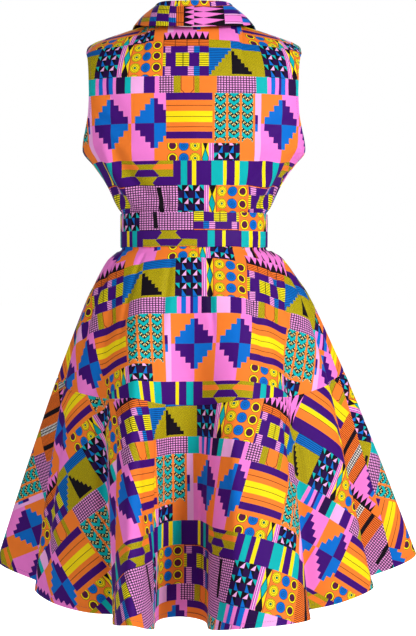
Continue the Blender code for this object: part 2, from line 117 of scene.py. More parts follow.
def creased(across, down, rows):
    # Sum of soft creases on the flat cloth.  Each is depth * exp(-(d / width)^2), d being the
    # distance from its bowed line, times sin(pi t)^0.7 from its start to its end.  A depth above
    # nothing is a ridge and one below it a trough
    total = np.zeros(np.broadcast(across, down).shape)
    for startAcross, startDown, endAcross, endDown, bow, width, depth in rows:
        run = math.hypot(endAcross - startAcross, endDown - startDown)
        alongAcross = (endAcross - startAcross) / run
        alongDown = (endDown - startDown) / run
        t = ((across - startAcross) * alongAcross + (down - startDown) * alongDown) / run
        off = (down - startDown) * alongAcross - (across - startAcross) * alongDown
        inside = np.sin(math.pi * np.clip(t, 0, 1))
        off = off - bow * inside
        total += depth * np.exp(-(off / width) ** 2) * inside ** 0.7
    return total


# Meshes

def meshFrom(name, corners, quads, places, marks):
    # A mesh from corner points, four-sided faces, a UV place for each face corner and a material
    # number for each face.  It is turned round if its volume comes out below nothing
    first = corners[quads[:, 0]]
    halves = [(quads[:, 1], quads[:, 2]), (quads[:, 2], quads[:, 3])]
    volume = sum(np.sum(first * np.cross(corners[b], corners[c])) for b, c in halves)
    if volume < 0:
        quads = quads[:, ::-1]
        places = places[:, ::-1]
    mesh = bpy.data.meshes.new(name)
    mesh.vertices.add(len(corners))
    mesh.vertices.foreach_set("co", corners.astype(np.float32).ravel())
    mesh.loops.add(quads.size)
    mesh.loops.foreach_set("vertex_index", np.ascontiguousarray(quads, np.int32).ravel())
    mesh.polygons.add(len(quads))
    mesh.polygons.foreach_set("loop_start", np.arange(0, quads.size, 4, dtype=np.int32))
    mesh.polygons.foreach_set("material_index", np.asarray(marks, np.int32))
    mesh.update(calc_edges=True)
    layer = mesh.uv_layers.new(name="cloth")
    layer.uv.foreach_set("vector", np.ascontiguousarray(places, np.float32).ravel())
    mesh.validate()
    mesh.shade_smooth()
    mesh.set_sharp_from_angle(angle=math.radians(50))
    return mesh


def gridFaces(rows, columns, ringed=False, looped=False):
    # Corner numbers of a grid's faces, and the numbers of their places.  A ringed grid closes
    # across and a looped one down too, and its places have one more column or row than its points
    wide = columns + ringed
    row, column = np.meshgrid(np.arange(rows - 1 + looped), np.arange(wide - 1), indexing="ij")
    row = row.ravel()
    column = column.ravel()
    below = (row + 1) % rows
    after = (column + 1) % columns
    point = [row * columns + column, row * columns + after,
             below * columns + after, below * columns + column]
    place = [row * wide + column, row * wide + column + 1,
             (row + 1) * wide + column + 1, (row + 1) * wide + column]
    return np.stack(point, -1), np.stack(place, -1)


def shellMesh(name, middle, places, wall, facing=1):
    # Closed thin shell: the grid moved out and in along its normal by half the wall, joined by a
    # rim.  Face material 0 is the outer side and the rim, 1 the wrong side
    normal = normals(middle) * facing
    half = (np.zeros(middle.shape[:2]) + wall)[..., None] / 2
    rows, columns = middle.shape[:2]
    corners = np.concatenate([(middle + normal * half).reshape(-1, 3),
                              (middle - normal * half).reshape(-1, 3)])
    count = rows * columns
    outer, place = gridFaces(rows, columns)
    edge = np.concatenate([np.arange(columns), np.arange(1, rows) * columns + columns - 1,
                           (rows - 1) * columns + np.arange(columns - 2, -1, -1),
                           np.arange(rows - 2, 0, -1) * columns])
    after = np.roll(edge, -1)
    rim = np.stack([after, edge, edge + count, after + count], -1)
    rimPlace = np.stack([after, edge, edge, after], -1)
    quads = np.concatenate([outer, outer[:, ::-1] + count, rim])
    allPlaces = np.concatenate([place, place[:, ::-1], rimPlace])
    marks = np.concatenate([np.zeros(len(outer)), np.ones(len(outer)), np.zeros(len(rim))])
    return meshFrom(name, corners, quads, places.reshape(-1, 2)[allPlaces], marks)


def tubeMesh(name, rings, places, looped=False):
    # A tube through a grid whose rows are rings, which may run back into its start
    quads, place = gridFaces(*rings.shape[:2], True, looped)
    corners = rings.reshape(-1, 3)
    return meshFrom(name, corners, quads, places.reshape(-1, 2)[place], np.zeros(len(quads)))


def capped(rings, places):
    # A tube's rings with a last ring of almost no size at both ends, so that it is closed
    ends = []
    for end in (rings[:1], rings[-1:]):
        middle = end.mean(1, keepdims=True)
        ends.append(middle + (end - middle) * 1e-5)
    return (np.concatenate([ends[0], rings, ends[1]]),
            np.concatenate([places[:1], places, places[-1:]]))


def placed(name, data):
    # An object in the scene
    thing = bpy.data.objects.new(name, data)
    bpy.context.collection.objects.link(thing)
    return thing


def piece(mesh, materials, nodes=()):
    # An object in place at the origin, which rides with the dress and stands for its solids
    thing = placed(mesh.name, mesh)
    for material in materials:
        mesh.materials.append(material)
    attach(thing, "root")
    if nodes:
        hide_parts(*nodes)
    return thing


def declareCloth(middle):
    # Works out the two diagonals of each cell of a piece's grid, and keeps nothing of them
    a = middle[1:, 1:] - middle[:-1, :-1]
    b = middle[1:, :-1] - middle[:-1, 1:]


# Node trees

def sign(operation):
    # What a sign between two wires does: it lays the math node for it
    return lambda wire, other: wire.board.math(operation, wire, other)


class Wire:
    # One value on its way through a node tree
    __add__ = sign("ADD")
    __sub__ = sign("SUBTRACT")
    __mul__ = sign("MULTIPLY")
    __truediv__ = sign("DIVIDE")
    __gt__ = sign("GREATER_THAN")
    __lt__ = sign("LESS_THAN")
    __and__ = sign("MULTIPLY")
    __or__ = sign("MAXIMUM")

    def __init__(self, board, socket):
        self.board = board
        self.socket = socket

    def __rsub__(self, other):
        return self.board.math("SUBTRACT", other, self)

    def __abs__(self):
        return self.board.math("ABSOLUTE", self)


class Board:
    # Lays nodes in one tree, ten to a column, and joins their sockets
    def __init__(self, tree):
        self.tree = tree
        self.count = 0

    def feed(self, node, inputs):
        # Inputs by name or number: a wire, the name of an ink, or a plain value
        for name, value in inputs.items():
            if isinstance(value, Wire):
                self.tree.links.new(value.socket, node.inputs[name])
            else:
                node.inputs[name].default_value = inkPlace(value) if isinstance(value, str) else value

    def node(self, kind, inputs=None, **settings):
        made = self.tree.nodes.new(kind)
        made.location = (180 * (self.count // 10), -170 * (self.count % 10))
        self.count += 1
        for name, value in settings.items():
            setattr(made, name, value)
        self.feed(made, inputs or {})
        return made

    def wire(self, kind, inputs=None, output=0, **settings):
        # The wire that leaves a new node
        return Wire(self, self.node(kind, inputs, **settings).outputs[output])

    def math(self, operation, *values):
        return self.wire("ShaderNodeMath", dict(enumerate(values)), operation=operation)

    def wrap(self, value, period):
        # What is left of a value after whole periods
        return self.math("WRAP", value, period, 0.0)

    def swing(self, value, reach):
        # Up from nothing to the reach and back again, over and over
        return self.math("PINGPONG", value, reach)

    def stair(self, value, tread):
        # Whole steps below a value
        return self.math("SNAP", value, tread)

    def band(self, value, middle, half):
        # 1 within half a width of the middle
        return self.math("COMPARE", value, middle, half)

    def span(self, value, start, end):
        # 1 from the start to the end
        return self.band(value, (start + end) / 2, (end - start) / 2)

    def ruled(self, value, apart, broad):
        # 1 on lines that come again and again
        return self.wrap(value, apart) < broad

    def mix(self, below, above, mask):
        # Below where the mask is 0 and above where it is 1
        return self.wire("ShaderNodeMix", {0: mask, 2: below, 3: above}, data_type="FLOAT")

    def inTurn(self, value, blocks):
        # Blocks in turn, each of them taking over from its own start
        ink = blocks[0][1]
        for start, block in blocks[1:]:
            ink = self.mix(ink, block, value > start)
        return ink

    def parts(self, vector):
        # The first two numbers of a vector
        made = self.node("ShaderNodeSeparateXYZ", {0: vector})
        return Wire(self, made.outputs[0]), Wire(self, made.outputs[1])

    def distance(self, across, down):
        # Length of the line to a point
        joined = self.wire("ShaderNodeCombineXYZ", {0: across, 1: down})
        return self.wire("ShaderNodeVectorMath", {0: joined}, "Value", operation="LENGTH")

    def table(self, value, steps, output):
        # Colours in steps, each with its start, read at a value from 0 to 1
        made = self.node("ShaderNodeValToRGB", {0: value})
        made.color_ramp.interpolation = "CONSTANT"
        stops = made.color_ramp.elements
        for number, (start, colour) in enumerate(steps):
            stop = stops[number] if number < 2 else stops.new(start)
            stop.position = start
            stop.color = colour
        return Wire(self, made.outputs[output])

    def stripes(self, place, rows):
        # Inks side by side, each with its width in millimetres, laid along a place in metres
        total = sum(width for ink, width in rows)
        steps = []
        start = 0.0
        for ink, width in rows:
            steps.append((start / total, (1, 1, 1, inkPlace(ink))))
            start += width
        return self.table(place / (total / 1000), steps, "Alpha")


def newGroup(name, inputs, outputs):
    # A shader node group with named sockets: name, kind and starting value.  It comes with the
    # wires of its inputs
    tree = bpy.data.node_groups.new(name, "ShaderNodeTree")
    for label, kind, value in inputs:
        socket = tree.interface.new_socket(name=label, in_out="INPUT", socket_type=kind)
        if value is not None:
            socket.default_value = value
    for label, kind in outputs:
        tree.interface.new_socket(name=label, in_out="OUTPUT", socket_type=kind)
    board = Board(tree)
    start = board.node("NodeGroupInput")
    return board, [Wire(board, start.outputs[label]) for label, kind, value in inputs]


def newMaterial(name, surfaceValues):
    # A material with one Principled surface, its board and that surface
    material = bpy.data.materials.new(name)
    material.use_nodes = True
    board = Board(material.node_tree)
    surface = board.tree.nodes["Principled BSDF"]
    board.feed(surface, surfaceValues)
    return material, board, surface


# The print: every block puts out the number of an ink, and one table turns it into a colour

inks = {
    # Plain inks, red, green and blue from 0 to 255
    "black": (15, 5, 18),
    "night": (36, 3, 66),
    "purple": (62, 5, 114),
    "blue": (0, 108, 204),
    "teal": (0, 178, 180),
    "pine": (0, 138, 104),
    "yellow": (253, 224, 14),
    "orange": (250, 128, 44),
    "pink": (248, 128, 216),
    "blush": (248, 176, 234),
    "maroon": (84, 20, 62),
    "brown": (84, 26, 14),
    "cream": (255, 240, 160),
    "navy": (0, 40, 98),
    # Inks under level lines, each followed by the ink of its lines
    "linedYellow": (246, 230, 22),
    "yellowLine": (50, 34, 8),
    "linedPink": (250, 160, 232),
    "pinkLine": (58, 10, 66),
    "linedOrange": (250, 120, 40),
    "orangeLine": (80, 20, 10),
    "linedBlue": (0, 112, 200),
    "blueLine": (0, 44, 104),
    # Inks under a net
    "nettedPink": (244, 160, 226),
    "pinkNet": (44, 6, 54),
    "speckled": (235, 232, 228),
    "speckle": (14, 10, 18),
    # Ink under a slanting hatch
    "olive": (208, 188, 10),
    "oliveHatch": (62, 54, 6),
}
inkNames = list(inks)
inkStep = 1 / 32                 # the table has room for 32 inks
firstLined = inkNames.index("linedYellow") * inkStep
firstNetted = inkNames.index("nettedPink") * inkStep
firstHatched = inkNames.index("olive") * inkStep


def inkPlace(name):
    # Place of an ink along the table, at the middle of its step
    return (inkNames.index(name) + 0.5) * inkStep


def linear(colour):
    # Screen red, green and blue from 0 to 255 as linear light
    share = np.asarray(colour, float) / 255
    light = np.where(share <= 0.04045, share / 12.92, ((share + 0.055) / 1.055) ** 2.4)
    return (*[float(part) for part in light], 1.0)


chart = {
    # The print in metres.  Storeys of four rows lie one under the other: the top row, upright
    # stripes, the tall row and a last row, which every second storey hasn't got.  That storey is
    # also moved across by the half drop
    "repeat": 0.3225, "storey": 0.270, "halfDrop": 0.1610,
    "topRow": 0.0730, "stripeRow": 0.0305, "tallRow": 0.1220,
    # Where each block starts across
    "pinStart": 0.0485, "chainStart": 0.0575, "stripStart": 0.0700, "discStart": 0.0720,
    "discEnd": 0.1335, "brickStart": 0.1350, "stairStart": 0.2187,
    "secondDiamond": 0.0770, "levelStart": 0.1411, "chevronStart": 0.2250, "tabStart": 0.3030,
    "benchStart": 0.0520, "benchEnd": 0.1540,
    "tallShift": 0.0080,             # the tall row starts so far before the top row
    # The short row under the tall blocks, which repeats the top row the other way round
    "shortRow": 0.0905, "shortMirror": 0.2760, "shortEnd": 0.2750, "shortFrom": 0.0840,
    # One repeat in four has other blocks
    "sideEvery": 4, "flameStart": 0.0465, "netStart": 0.2530,
    # Sizes in the blocks
    "mosaicCell": (0.020, 0.024), "discApart": (0.0205, 0.0225),
    "linkHeight": 0.034, "linkSlope": 0.33, "linkHalf": 0.0068, "linkInside": 0.0053,
    "stripLines": (0.0028, 0.0004),
    "toothRow": 0.0180, "toothWidth": 0.0120, "toothSlope": 2.8,
    "brickRow": 0.0150, "brickJoints": (0.0217, 0.0012), "lamps": (0.0288, 0.0548),
    "oddBrickLift": 0.0125,
    "stairMiddle": 0.2605, "stairTread": 0.0062, "stairSlope": 1.24, "stairTop": 0.0180,
    "stairPeak": 0.0240, "stairFoot": 0.0690,
    "barPlace": 0.2870, "barWidth": 0.0084, "barLean": 0.12, "bar": (0.0035, 0.0685),
    "tongue": (0.1800, 0.0115, 0.0365, 0.7),     # middle, half width, tip and slope
    "tongueLine": 0.0012,
    "diamondMiddles": (0.0350, 0.1196), "diamondDown": 0.0543, "diamondHalf": (0.0354, 0.0450),
    "diamondTread": 0.0094, "treadStart": 0.0023, "diamondSlope": 1.14,
    "chevronFirst": 0.0020, "chevronApart": (0.0247, 0.0153), "chevronSlope": 0.80,
    "chevronHalf": 0.0102, "chevronLow": 0.0800, "chevron": (0.0008, 0.0076),
    "dots": ((0.0100, 0.0010), (0.0132, 0.0034)), "dotRows": (0.0048, 0.0020), "dotHalf": 0.0010,
    "tab": (0.0390, 0.0690), "tabChange": 0.0555, "tabEnd": 0.3085,
    "flame": (0.0144, 0.0800),
    "benchHalf": 0.0250, "benchTop": 0.0270, "benchHigh": 0.0135, "benchSlope": 0.93,
    # Fine lines, each kind with how far apart and how broad they are
    "levelLines": (0.0034, 0.0012), "netDown": (0.0042, 0.0015), "netAcross": (0.0052, 0.0017),
    "hatch": (0.0026, 0.0010),
    # Rows of stripes: ink and width in millimetres
    "pins": (("pink", 2.4), ("purple", 0.9), ("blush", 2.4), ("purple", 0.9), ("pink", 2.4)),
    "discs": ((("black", 1.1), ("pine", 1.3), ("yellow", 1.7), ("black", 0.7), ("yellow", 2.6),
               ("black", 0.6), ("yellow", 1.2), ("black", 0.7), ("orange", 8)),
              (("blue", 1.4), ("navy", 0.7), ("blue", 2.0), ("navy", 0.7), ("blue", 3.8),
               ("black", 0.8), ("orange", 9.0)),
              (("maroon", 5.4), ("black", 1.0), ("yellow", 2.4), ("black", 0.8),
               ("orange", 8.7))),
    "brickRows": (("purple", 4), ("linedPink", 10.5), ("purple", 31), ("linedPink", 10.5),
                  ("linedBlue", 10.5), ("purple", 12.5)),
    "lampRows": (("linedYellow", 5), ("purple", 18.5), ("linedYellow", 12.5), ("black", 1.6),
                 ("linedYellow", 10), ("purple", 18.5), ("linedYellow", 12.9)),
    "uprights": (("teal", 3), ("pink", 8), ("blue", 8), ("pink", 8), ("purple", 5), ("blue", 9),
                 ("pink", 6), ("night", 18), ("teal", 11), ("blush", 24), ("purple", 20),
                 ("pink", 8), ("nettedPink", 26), ("olive", 13), ("orange", 25), ("olive", 9),
                 ("orange", 31), ("nettedPink", 72.5), ("teal", 18)),
    "levels": (("purple", 12.8), ("orange", 9.4), ("brown", 1.1), ("orange", 9.6),
               ("yellow", 9.4), ("brown", 1.1), ("yellow", 9.2), ("orange", 8.2),
               ("brown", 1.1), ("orange", 8), ("purple", 12.2), ("orange", 46)),
    "broadStripes": (("purple", 13), ("teal", 11), ("purple", 9), ("yellow", 8), ("purple", 28),
                     ("teal", 21), ("yellow", 6), ("purple", 16), ("yellow", 8), ("teal", 17),
                     ("purple", 31), ("yellow", 7), ("purple", 13), ("teal", 12.5),
                     ("purple", 122)),
    "benchInside": (("purple", 6.5), ("olive", 9.5), ("purple", 13), ("olive", 15)),
    "benchOutside": (("olive", 6.5), ("orange", 9.5), ("olive", 13), ("purple", 15)),
    "lattice": (("linedOrange", 28), ("black", 9), ("linedOrange", 17), ("speckled", 14),
                ("linedOrange", 19), ("black", 9), ("linedOrange", 22)),
    "sideUprights": (("blue", 18), ("purple", 12), ("blush", 3), ("black", 1), ("pink", 15),
                     ("black", 1), ("blush", 3), ("black", 8), ("blue", 8), ("navy", 1),
                     ("blue", 7), ("night", 8)),
    "sideLevels": (("yellow", 11), ("brown", 1), ("yellow", 11), ("purple", 15),
                   ("orange", 9), ("brown", 1), ("orange", 9), ("purple", 16), ("yellow", 9),
                   ("brown", 1), ("orange", 16), ("purple", 27.5)),
}


cotton = {
    "dyeScale": 24.0, "dyeSpread": 0.10,         # how unevenly the dye lies
    "paleInk": (236, 226, 232),                  # what the wrong side fades to
    "thread": 0.0005, "crumpleScale": 38.0,
    "crumpleStrength": 0.35, "crumpleDepth": 0.0020,
    "weaveStrength": 0.30, "weaveDepth": 0.00008,
    "specular": 0.12,
}


def mosaicBlock(board, across, down):
    # Cells with a teal and a pink triangle on a dark ground above, and a purple square and a blue
    # triangle below; a and b are shares of the cell
    wide, high = chart["mosaicCell"]
    a = board.wrap(across, wide) / wide
    b = board.wrap(down, high) / high
    low = board.mix("black", "night", board.band(a, 0.27, 0.27))
    low = board.mix(low, "blue", board.band(a, 0.80, 0.19) & ((a - 0.62) * 1.35 < b - 0.46))
    top = board.mix("black", "teal", board.band(a, 0.20, 0.20) & (b - 0.02 < a))
    top = board.mix(top, "blush", board.band(a, 0.80, 0.20) & (1.02 - a < b))
    return board.mix(low, top, b < 0.44)


def chainBlock(board, across, down):
    # Diamonds, black and teal by turns, with black outlines down a yellow strip
    high = chart["linkHeight"]
    off = abs(across - (chart["chainStart"] + chart["stripStart"]) / 2)
    edge = off + board.swing(down, high / 2) * chart["linkSlope"]
    ink = board.mix("yellow", "black", edge < chart["linkHalf"])
    odd = board.ruled(down - high / 2, 2 * high, high)
    return board.mix(ink, "teal", odd & (edge < chart["linkInside"]))


def discBlock(board, across, down):
    # Three columns of discs: ringed yellow, blue, and a dark one with a yellow rim
    wide, high = chart["discApart"]
    column = (across - chart["discStart"]) / wide
    x = board.wrap(column, 1.0) - 0.5
    y = board.wrap(down / high, 1.0) - 0.5
    r = board.distance(x * wide, y * high)
    discs = [board.stripes(r, rows) for rows in chart["discs"]]
    return board.inTurn(column, tuple(enumerate(discs)))


def brickBlock(board, across, down):
    # A row of orange bricks, then a purple ground with pink, blue and yellow tablets
    c = chart
    a = across - c["brickStart"]
    ink = board.mix(board.stripes(a, c["brickRows"]), board.stripes(a, c["lampRows"]),
                    board.span(down, *c["lamps"]))
    bricks = board.mix("linedOrange", "black", board.ruled(a, *c["brickJoints"]))
    return board.mix(bricks, ink, down > c["brickRow"])


def toothBlock(board, across, down):
    # Black teeth that hang into pink
    c = chart
    tooth = board.swing(across - c["brickStart"], c["toothWidth"] / 2) * c["toothSlope"]
    return board.mix("pink", "black", tooth < down)


def flameBlock(board, across, down):
    # Pink spikes up and down from a middle line, on black: |v - h| / h < the spike's share
    wide, high = chart["flame"]
    spike = board.swing(across, wide / 2) / (wide / 2)
    return board.mix("black", "pink", abs(down - high / 2) / (high / 2) < spike)


def stairBlock(board, across, down):
    # Two halves round a middle line: a band on top, and below it stairs that climb to the middle
    c = chart
    off = across - c["stairMiddle"]
    under = down > board.stair(abs(off), c["stairTread"]) * c["stairSlope"] + c["stairPeak"]
    top = down < c["stairTop"]
    left = board.mix("linedBlue", "olive", under | top)
    right = board.mix("olive", "black", under & (down < c["stairFoot"]))
    right = board.mix(right, "linedBlue", top)
    return board.mix(left, right, off > 0)


def barredNet(board, across, down):
    # A pink net with one leaning dark bar
    c = chart
    bar = board.band(across - down * c["barLean"], c["barPlace"], c["barWidth"] / 2)
    return board.mix("nettedPink", "black", bar & board.span(down, *c["bar"]))


def uprightRow(board, across, down):
    # Upright stripes with a pointed tongue outlined on them
    c = chart
    middle, half, tip, slope = c["tongue"]
    off = abs(across - middle)
    point = board.math("MAXIMUM", off - half, (off + down - tip) * slope)
    return board.mix(board.stripes(across, c["uprights"]), "brown",
                     board.band(point, 0.0, c["tongueLine"] / 2))


def diamondBlock(board, across, down):
    # Two stepped diamonds quartered in blue and purple on quarters of orange and pink
    c = chart
    wide, high = c["diamondHalf"]
    x = across - board.mix(*c["diamondMiddles"], across > c["secondDiamond"])
    y = down - c["diamondDown"]
    crossed = abs((x > 0) - (y > 0))
    climb = board.stair(abs(x) + c["treadStart"], c["diamondTread"]) * c["diamondSlope"]
    inside = (abs(y) + climb < high) & (abs(x) < wide)
    return board.mix(board.mix("orange", "pink", crossed), board.mix("blue", "purple", crossed),
                     inside)


def chevronBlock(board, across, down):
    # Three columns of teal chevrons with cream dots on black, on an orange ground, and a strip
    # with one tab
    c = chart
    wide, high = c["chevronApart"]
    off = abs(board.wrap(across - c["chevronStart"] - c["chevronFirst"], wide) - wide / 2)
    slant = off * c["chevronSlope"]
    phase = board.wrap(down + slant, high)
    ink = "black"
    for level, shift in c["dots"]:
        dots = board.band(phase, level, c["dotHalf"]) & board.ruled(off + shift, *c["dotRows"])
        ink = board.mix(ink, "cream", dots)
    ink = board.mix(ink, "teal", board.span(phase, *c["chevron"]))
    ink = board.mix("orange", ink, (off < c["chevronHalf"]) & (down - slant < c["chevronLow"]))
    tab = board.mix("blue", "purple", down < c["tabChange"])
    side = board.mix("blush", tab, board.span(down, *c["tab"]) & (across < c["tabEnd"]))
    return board.mix(ink, side, across > c["tabStart"])


def benchBlock(board, across, down):
    # Trapezoids one above the other, in the middle of level bands
    c = chart
    half = c["benchHalf"] - board.swing(down - c["benchTop"], c["benchHigh"]) * c["benchSlope"]
    middle = (c["benchStart"] + c["benchEnd"]) / 2
    return board.mix(board.stripes(down, c["benchOutside"]), board.stripes(down, c["benchInside"]),
                     abs(across - middle) < half)


def sideTopBlock(board, across, down):
    # Bars and a speckled band, and a net with one bar
    c = chart
    return board.inTurn(across, ((0, board.stripes(across - c["brickStart"], c["lattice"])),
                                 (c["netStart"], barredNet(board, across, down))))


def sideTallBlock(board, across, down):
    # Uprights over flames, level stripes, and bars with a speckled band
    c = chart
    uprights = board.stripes(across + c["tallShift"], c["sideUprights"])
    flames = flameBlock(board, across, down - c["flameStart"])
    return board.inTurn(across, (
        (0, board.inTurn(down, ((0, uprights), (c["flameStart"], flames)))),
        (c["secondDiamond"], board.stripes(down, c["sideLevels"])),
        (c["chevronStart"], board.stripes(across - c["chevronStart"], c["lattice"]))))


def otherRepeat(board, across):
    # 1 in the second repeat of every four
    return board.span(board.wrap(across / chart["repeat"], chart["sideEvery"]), 1, 2)


def patchworkPrint():
    # Group: the flat place on the cloth in, the colour of the print out
    c = chart
    board, (cloth, fading) = newGroup(
        "patchworkPrint",
        (("Cloth", "NodeSocketVector", None), ("Fading", "NodeSocketFloat", 0.0)),
        (("Color", "NodeSocketColor"),))
    u, v = board.parts(cloth)
    tallStart = c["topRow"] + c["stripeRow"]
    lowStart = tallStart + c["tallRow"]
    inner = board.wrap(v * -1.0, c["storey"] + lowStart)
    odd = inner > c["storey"]
    down = inner - odd * c["storey"]
    toothAcross = board.wrap(u, c["repeat"])
    u = u + odd * c["halfDrop"]
    across = board.wrap(u, c["repeat"])
    tallAcross = board.wrap(u + c["tallShift"], c["repeat"]) - c["tallShift"]
    tallDown = down - tallStart

    # The top row's blocks, also read the other way round for the short row
    short = (tallDown > c["shortRow"]) & (tallAcross > c["levelStart"])
    a = board.mix(across, c["shortMirror"] - across, short)
    b = board.mix(down, tallDown - c["shortFrom"], short)
    apart, broad = c["stripLines"]
    line = board.band(board.swing(a - c["stripStart"], apart / 2), apart / 2, broad)
    strip = board.mix("orange", "brown", line)
    shortRow = board.inTurn(a, (
        (0, mosaicBlock(board, a, b)), (c["pinStart"], board.stripes(a - c["pinStart"], c["pins"])),
        (c["chainStart"], chainBlock(board, a, b)), (c["stripStart"], strip),
        (c["discStart"], discBlock(board, a, b)), (c["discEnd"], strip)))
    bricks = brickBlock(board, across, down + odd * c["oddBrickLift"])
    stair = board.mix(stairBlock(board, across, down), barredNet(board, across, down), odd)
    top = board.inTurn(across, ((0, shortRow), (c["brickStart"], bricks), (c["stairStart"], stair)))
    top = board.mix(top, sideTopBlock(board, across, down),
                    otherRepeat(board, u) & (across > c["brickStart"]))

    tall = board.inTurn(tallAcross, (
        (0, diamondBlock(board, tallAcross, tallDown)),
        (c["levelStart"], board.stripes(tallDown, c["levels"])),
        (c["chevronStart"], chevronBlock(board, tallAcross, tallDown))))
    tall = board.mix(tall, shortRow, short & (tallAcross < c["shortEnd"]))
    tall = board.mix(tall, sideTallBlock(board, across, tallDown),
                     otherRepeat(board, u + c["tallShift"]) & odd)

    # Teeth at the foot of every second storey, over the next storey's bricks
    toothDown = tallDown - (c["tallRow"] - c["toothRow"])
    over = board.span(toothAcross, c["brickStart"], c["stairStart"]) & odd & (toothDown > 0)
    tall = board.mix(tall, toothBlock(board, toothAcross, toothDown), over)

    low = board.stripes(board.wrap(across - c["benchEnd"], c["repeat"]), c["broadStripes"])
    low = board.mix(low, benchBlock(board, across, down - lowStart),
                    board.span(across, c["benchStart"], c["benchEnd"]))
    upright = uprightRow(board, across, down - c["topRow"])
    ink = board.inTurn(down, ((0, top), (c["topRow"], upright), (tallStart, tall), (lowStart, low)))

    # Fine lines: level ones, a net or a slanting hatch, by the kind of ink
    net = board.ruled(down, *c["netDown"]) | board.ruled(across, *c["netAcross"])
    fine = board.inTurn(ink, ((0, board.ruled(down, *c["levelLines"])), (firstNetted, net),
                              (firstHatched, board.ruled(down + across, *c["hatch"]))))
    ink = ink + (fine & (ink > firstLined)) * inkStep
    steps = [(number * inkStep, linear(inks[name])) for number, name in enumerate(inkNames)]
    colour = board.table(ink, steps, "Color")

    # The dye lies a little unevenly, and the wrong side is paler
    noise = board.wire("ShaderNodeTexNoise", {"Vector": cloth, "Scale": cotton["dyeScale"],
                                              "Detail": 2.0}, noise_dimensions="2D")
    spread = cotton["dyeSpread"]
    shade = noise * spread + (1 - spread / 2)
    dyed = board.wire("ShaderNodeVectorMath", {0: colour, "Scale": shade}, operation="SCALE")
    paled = board.wire("ShaderNodeMix", {0: fading, 6: dyed, 7: linear(cotton["paleInk"])}, 2,
                       data_type="RGBA")
    board.node("NodeGroupOutput", {"Color": paled})
    return board.tree


def plainWeave():
    # Group: height of a plain weave, threads over and under by turns, and soft crumple
    board, (cloth, thread, crumple) = newGroup(
        "plainWeave",
        (("Cloth", "NodeSocketVector", None), ("Thread", "NodeSocketFloat", cotton["thread"]),
         ("Crumple", "NodeSocketFloat", 1.0)),
        (("Weave", "NodeSocketFloat"), ("Crumple", "NodeSocketFloat")))
    across, down = board.parts(cloth)
    warp = board.math("SINE", across / thread * math.pi)
    weft = board.math("SINE", down / thread * math.pi)
    height = abs(warp) * 0.5 + abs(weft) * 0.5 + warp * weft * 0.5
    noise = board.wire("ShaderNodeTexNoise", {"Vector": cloth, "Scale": cotton["crumpleScale"],
                                              "Detail": 3.0, "Roughness": 0.55},
                       noise_dimensions="2D")
    board.node("NodeGroupOutput", {"Weave": height, "Crumple": noise * crumple})
    return board.tree


printGroup = patchworkPrint()
weaveGroup = plainWeave()
print("print group with", len(printGroup.nodes), "nodes")


def clothMaterial(name, fading=0.0, roughness=0.66, crumple=1.0):
    # Printed cotton: the print on Base Color, weave and crumple as two bumps
    k = cotton
    material, board, surface = newMaterial(name, {"Roughness": roughness,
                                                  "Specular IOR Level": k["specular"]})
    place = board.wire("ShaderNodeUVMap", output="UV", uv_map="cloth")
    colour = board.wire("ShaderNodeGroup", {"Cloth": place, "Fading": fading}, "Color",
                        node_tree=printGroup)
    weave = board.node("ShaderNodeGroup", {"Cloth": place, "Crumple": crumple},
                       node_tree=weaveGroup)
    soft = board.wire("ShaderNodeBump", {
        "Strength": k["crumpleStrength"], "Distance": k["crumpleDepth"],
        "Height": Wire(board, weave.outputs["Crumple"])})
    fine = board.wire("ShaderNodeBump", {
        "Strength": k["weaveStrength"], "Distance": k["weaveDepth"],
        "Height": Wire(board, weave.outputs["Weave"]), "Normal": soft})
    board.feed(surface, {"Base Color": colour, "Normal": fine})
    return material


bodiceCotton = clothMaterial("bodiceCotton")
skirtCotton = clothMaterial("skirtCotton", crumple=0.8)
firmCotton = clothMaterial("firmCotton", roughness=0.55, crumple=0.5)
wrongSide = clothMaterial("wrongSide", fading=0.30, roughness=0.75)
skirtWrongSide = clothMaterial("skirtWrongSide", fading=0.30, roughness=0.75, crumple=0.8)
print("cloth materials made")


# The bodice

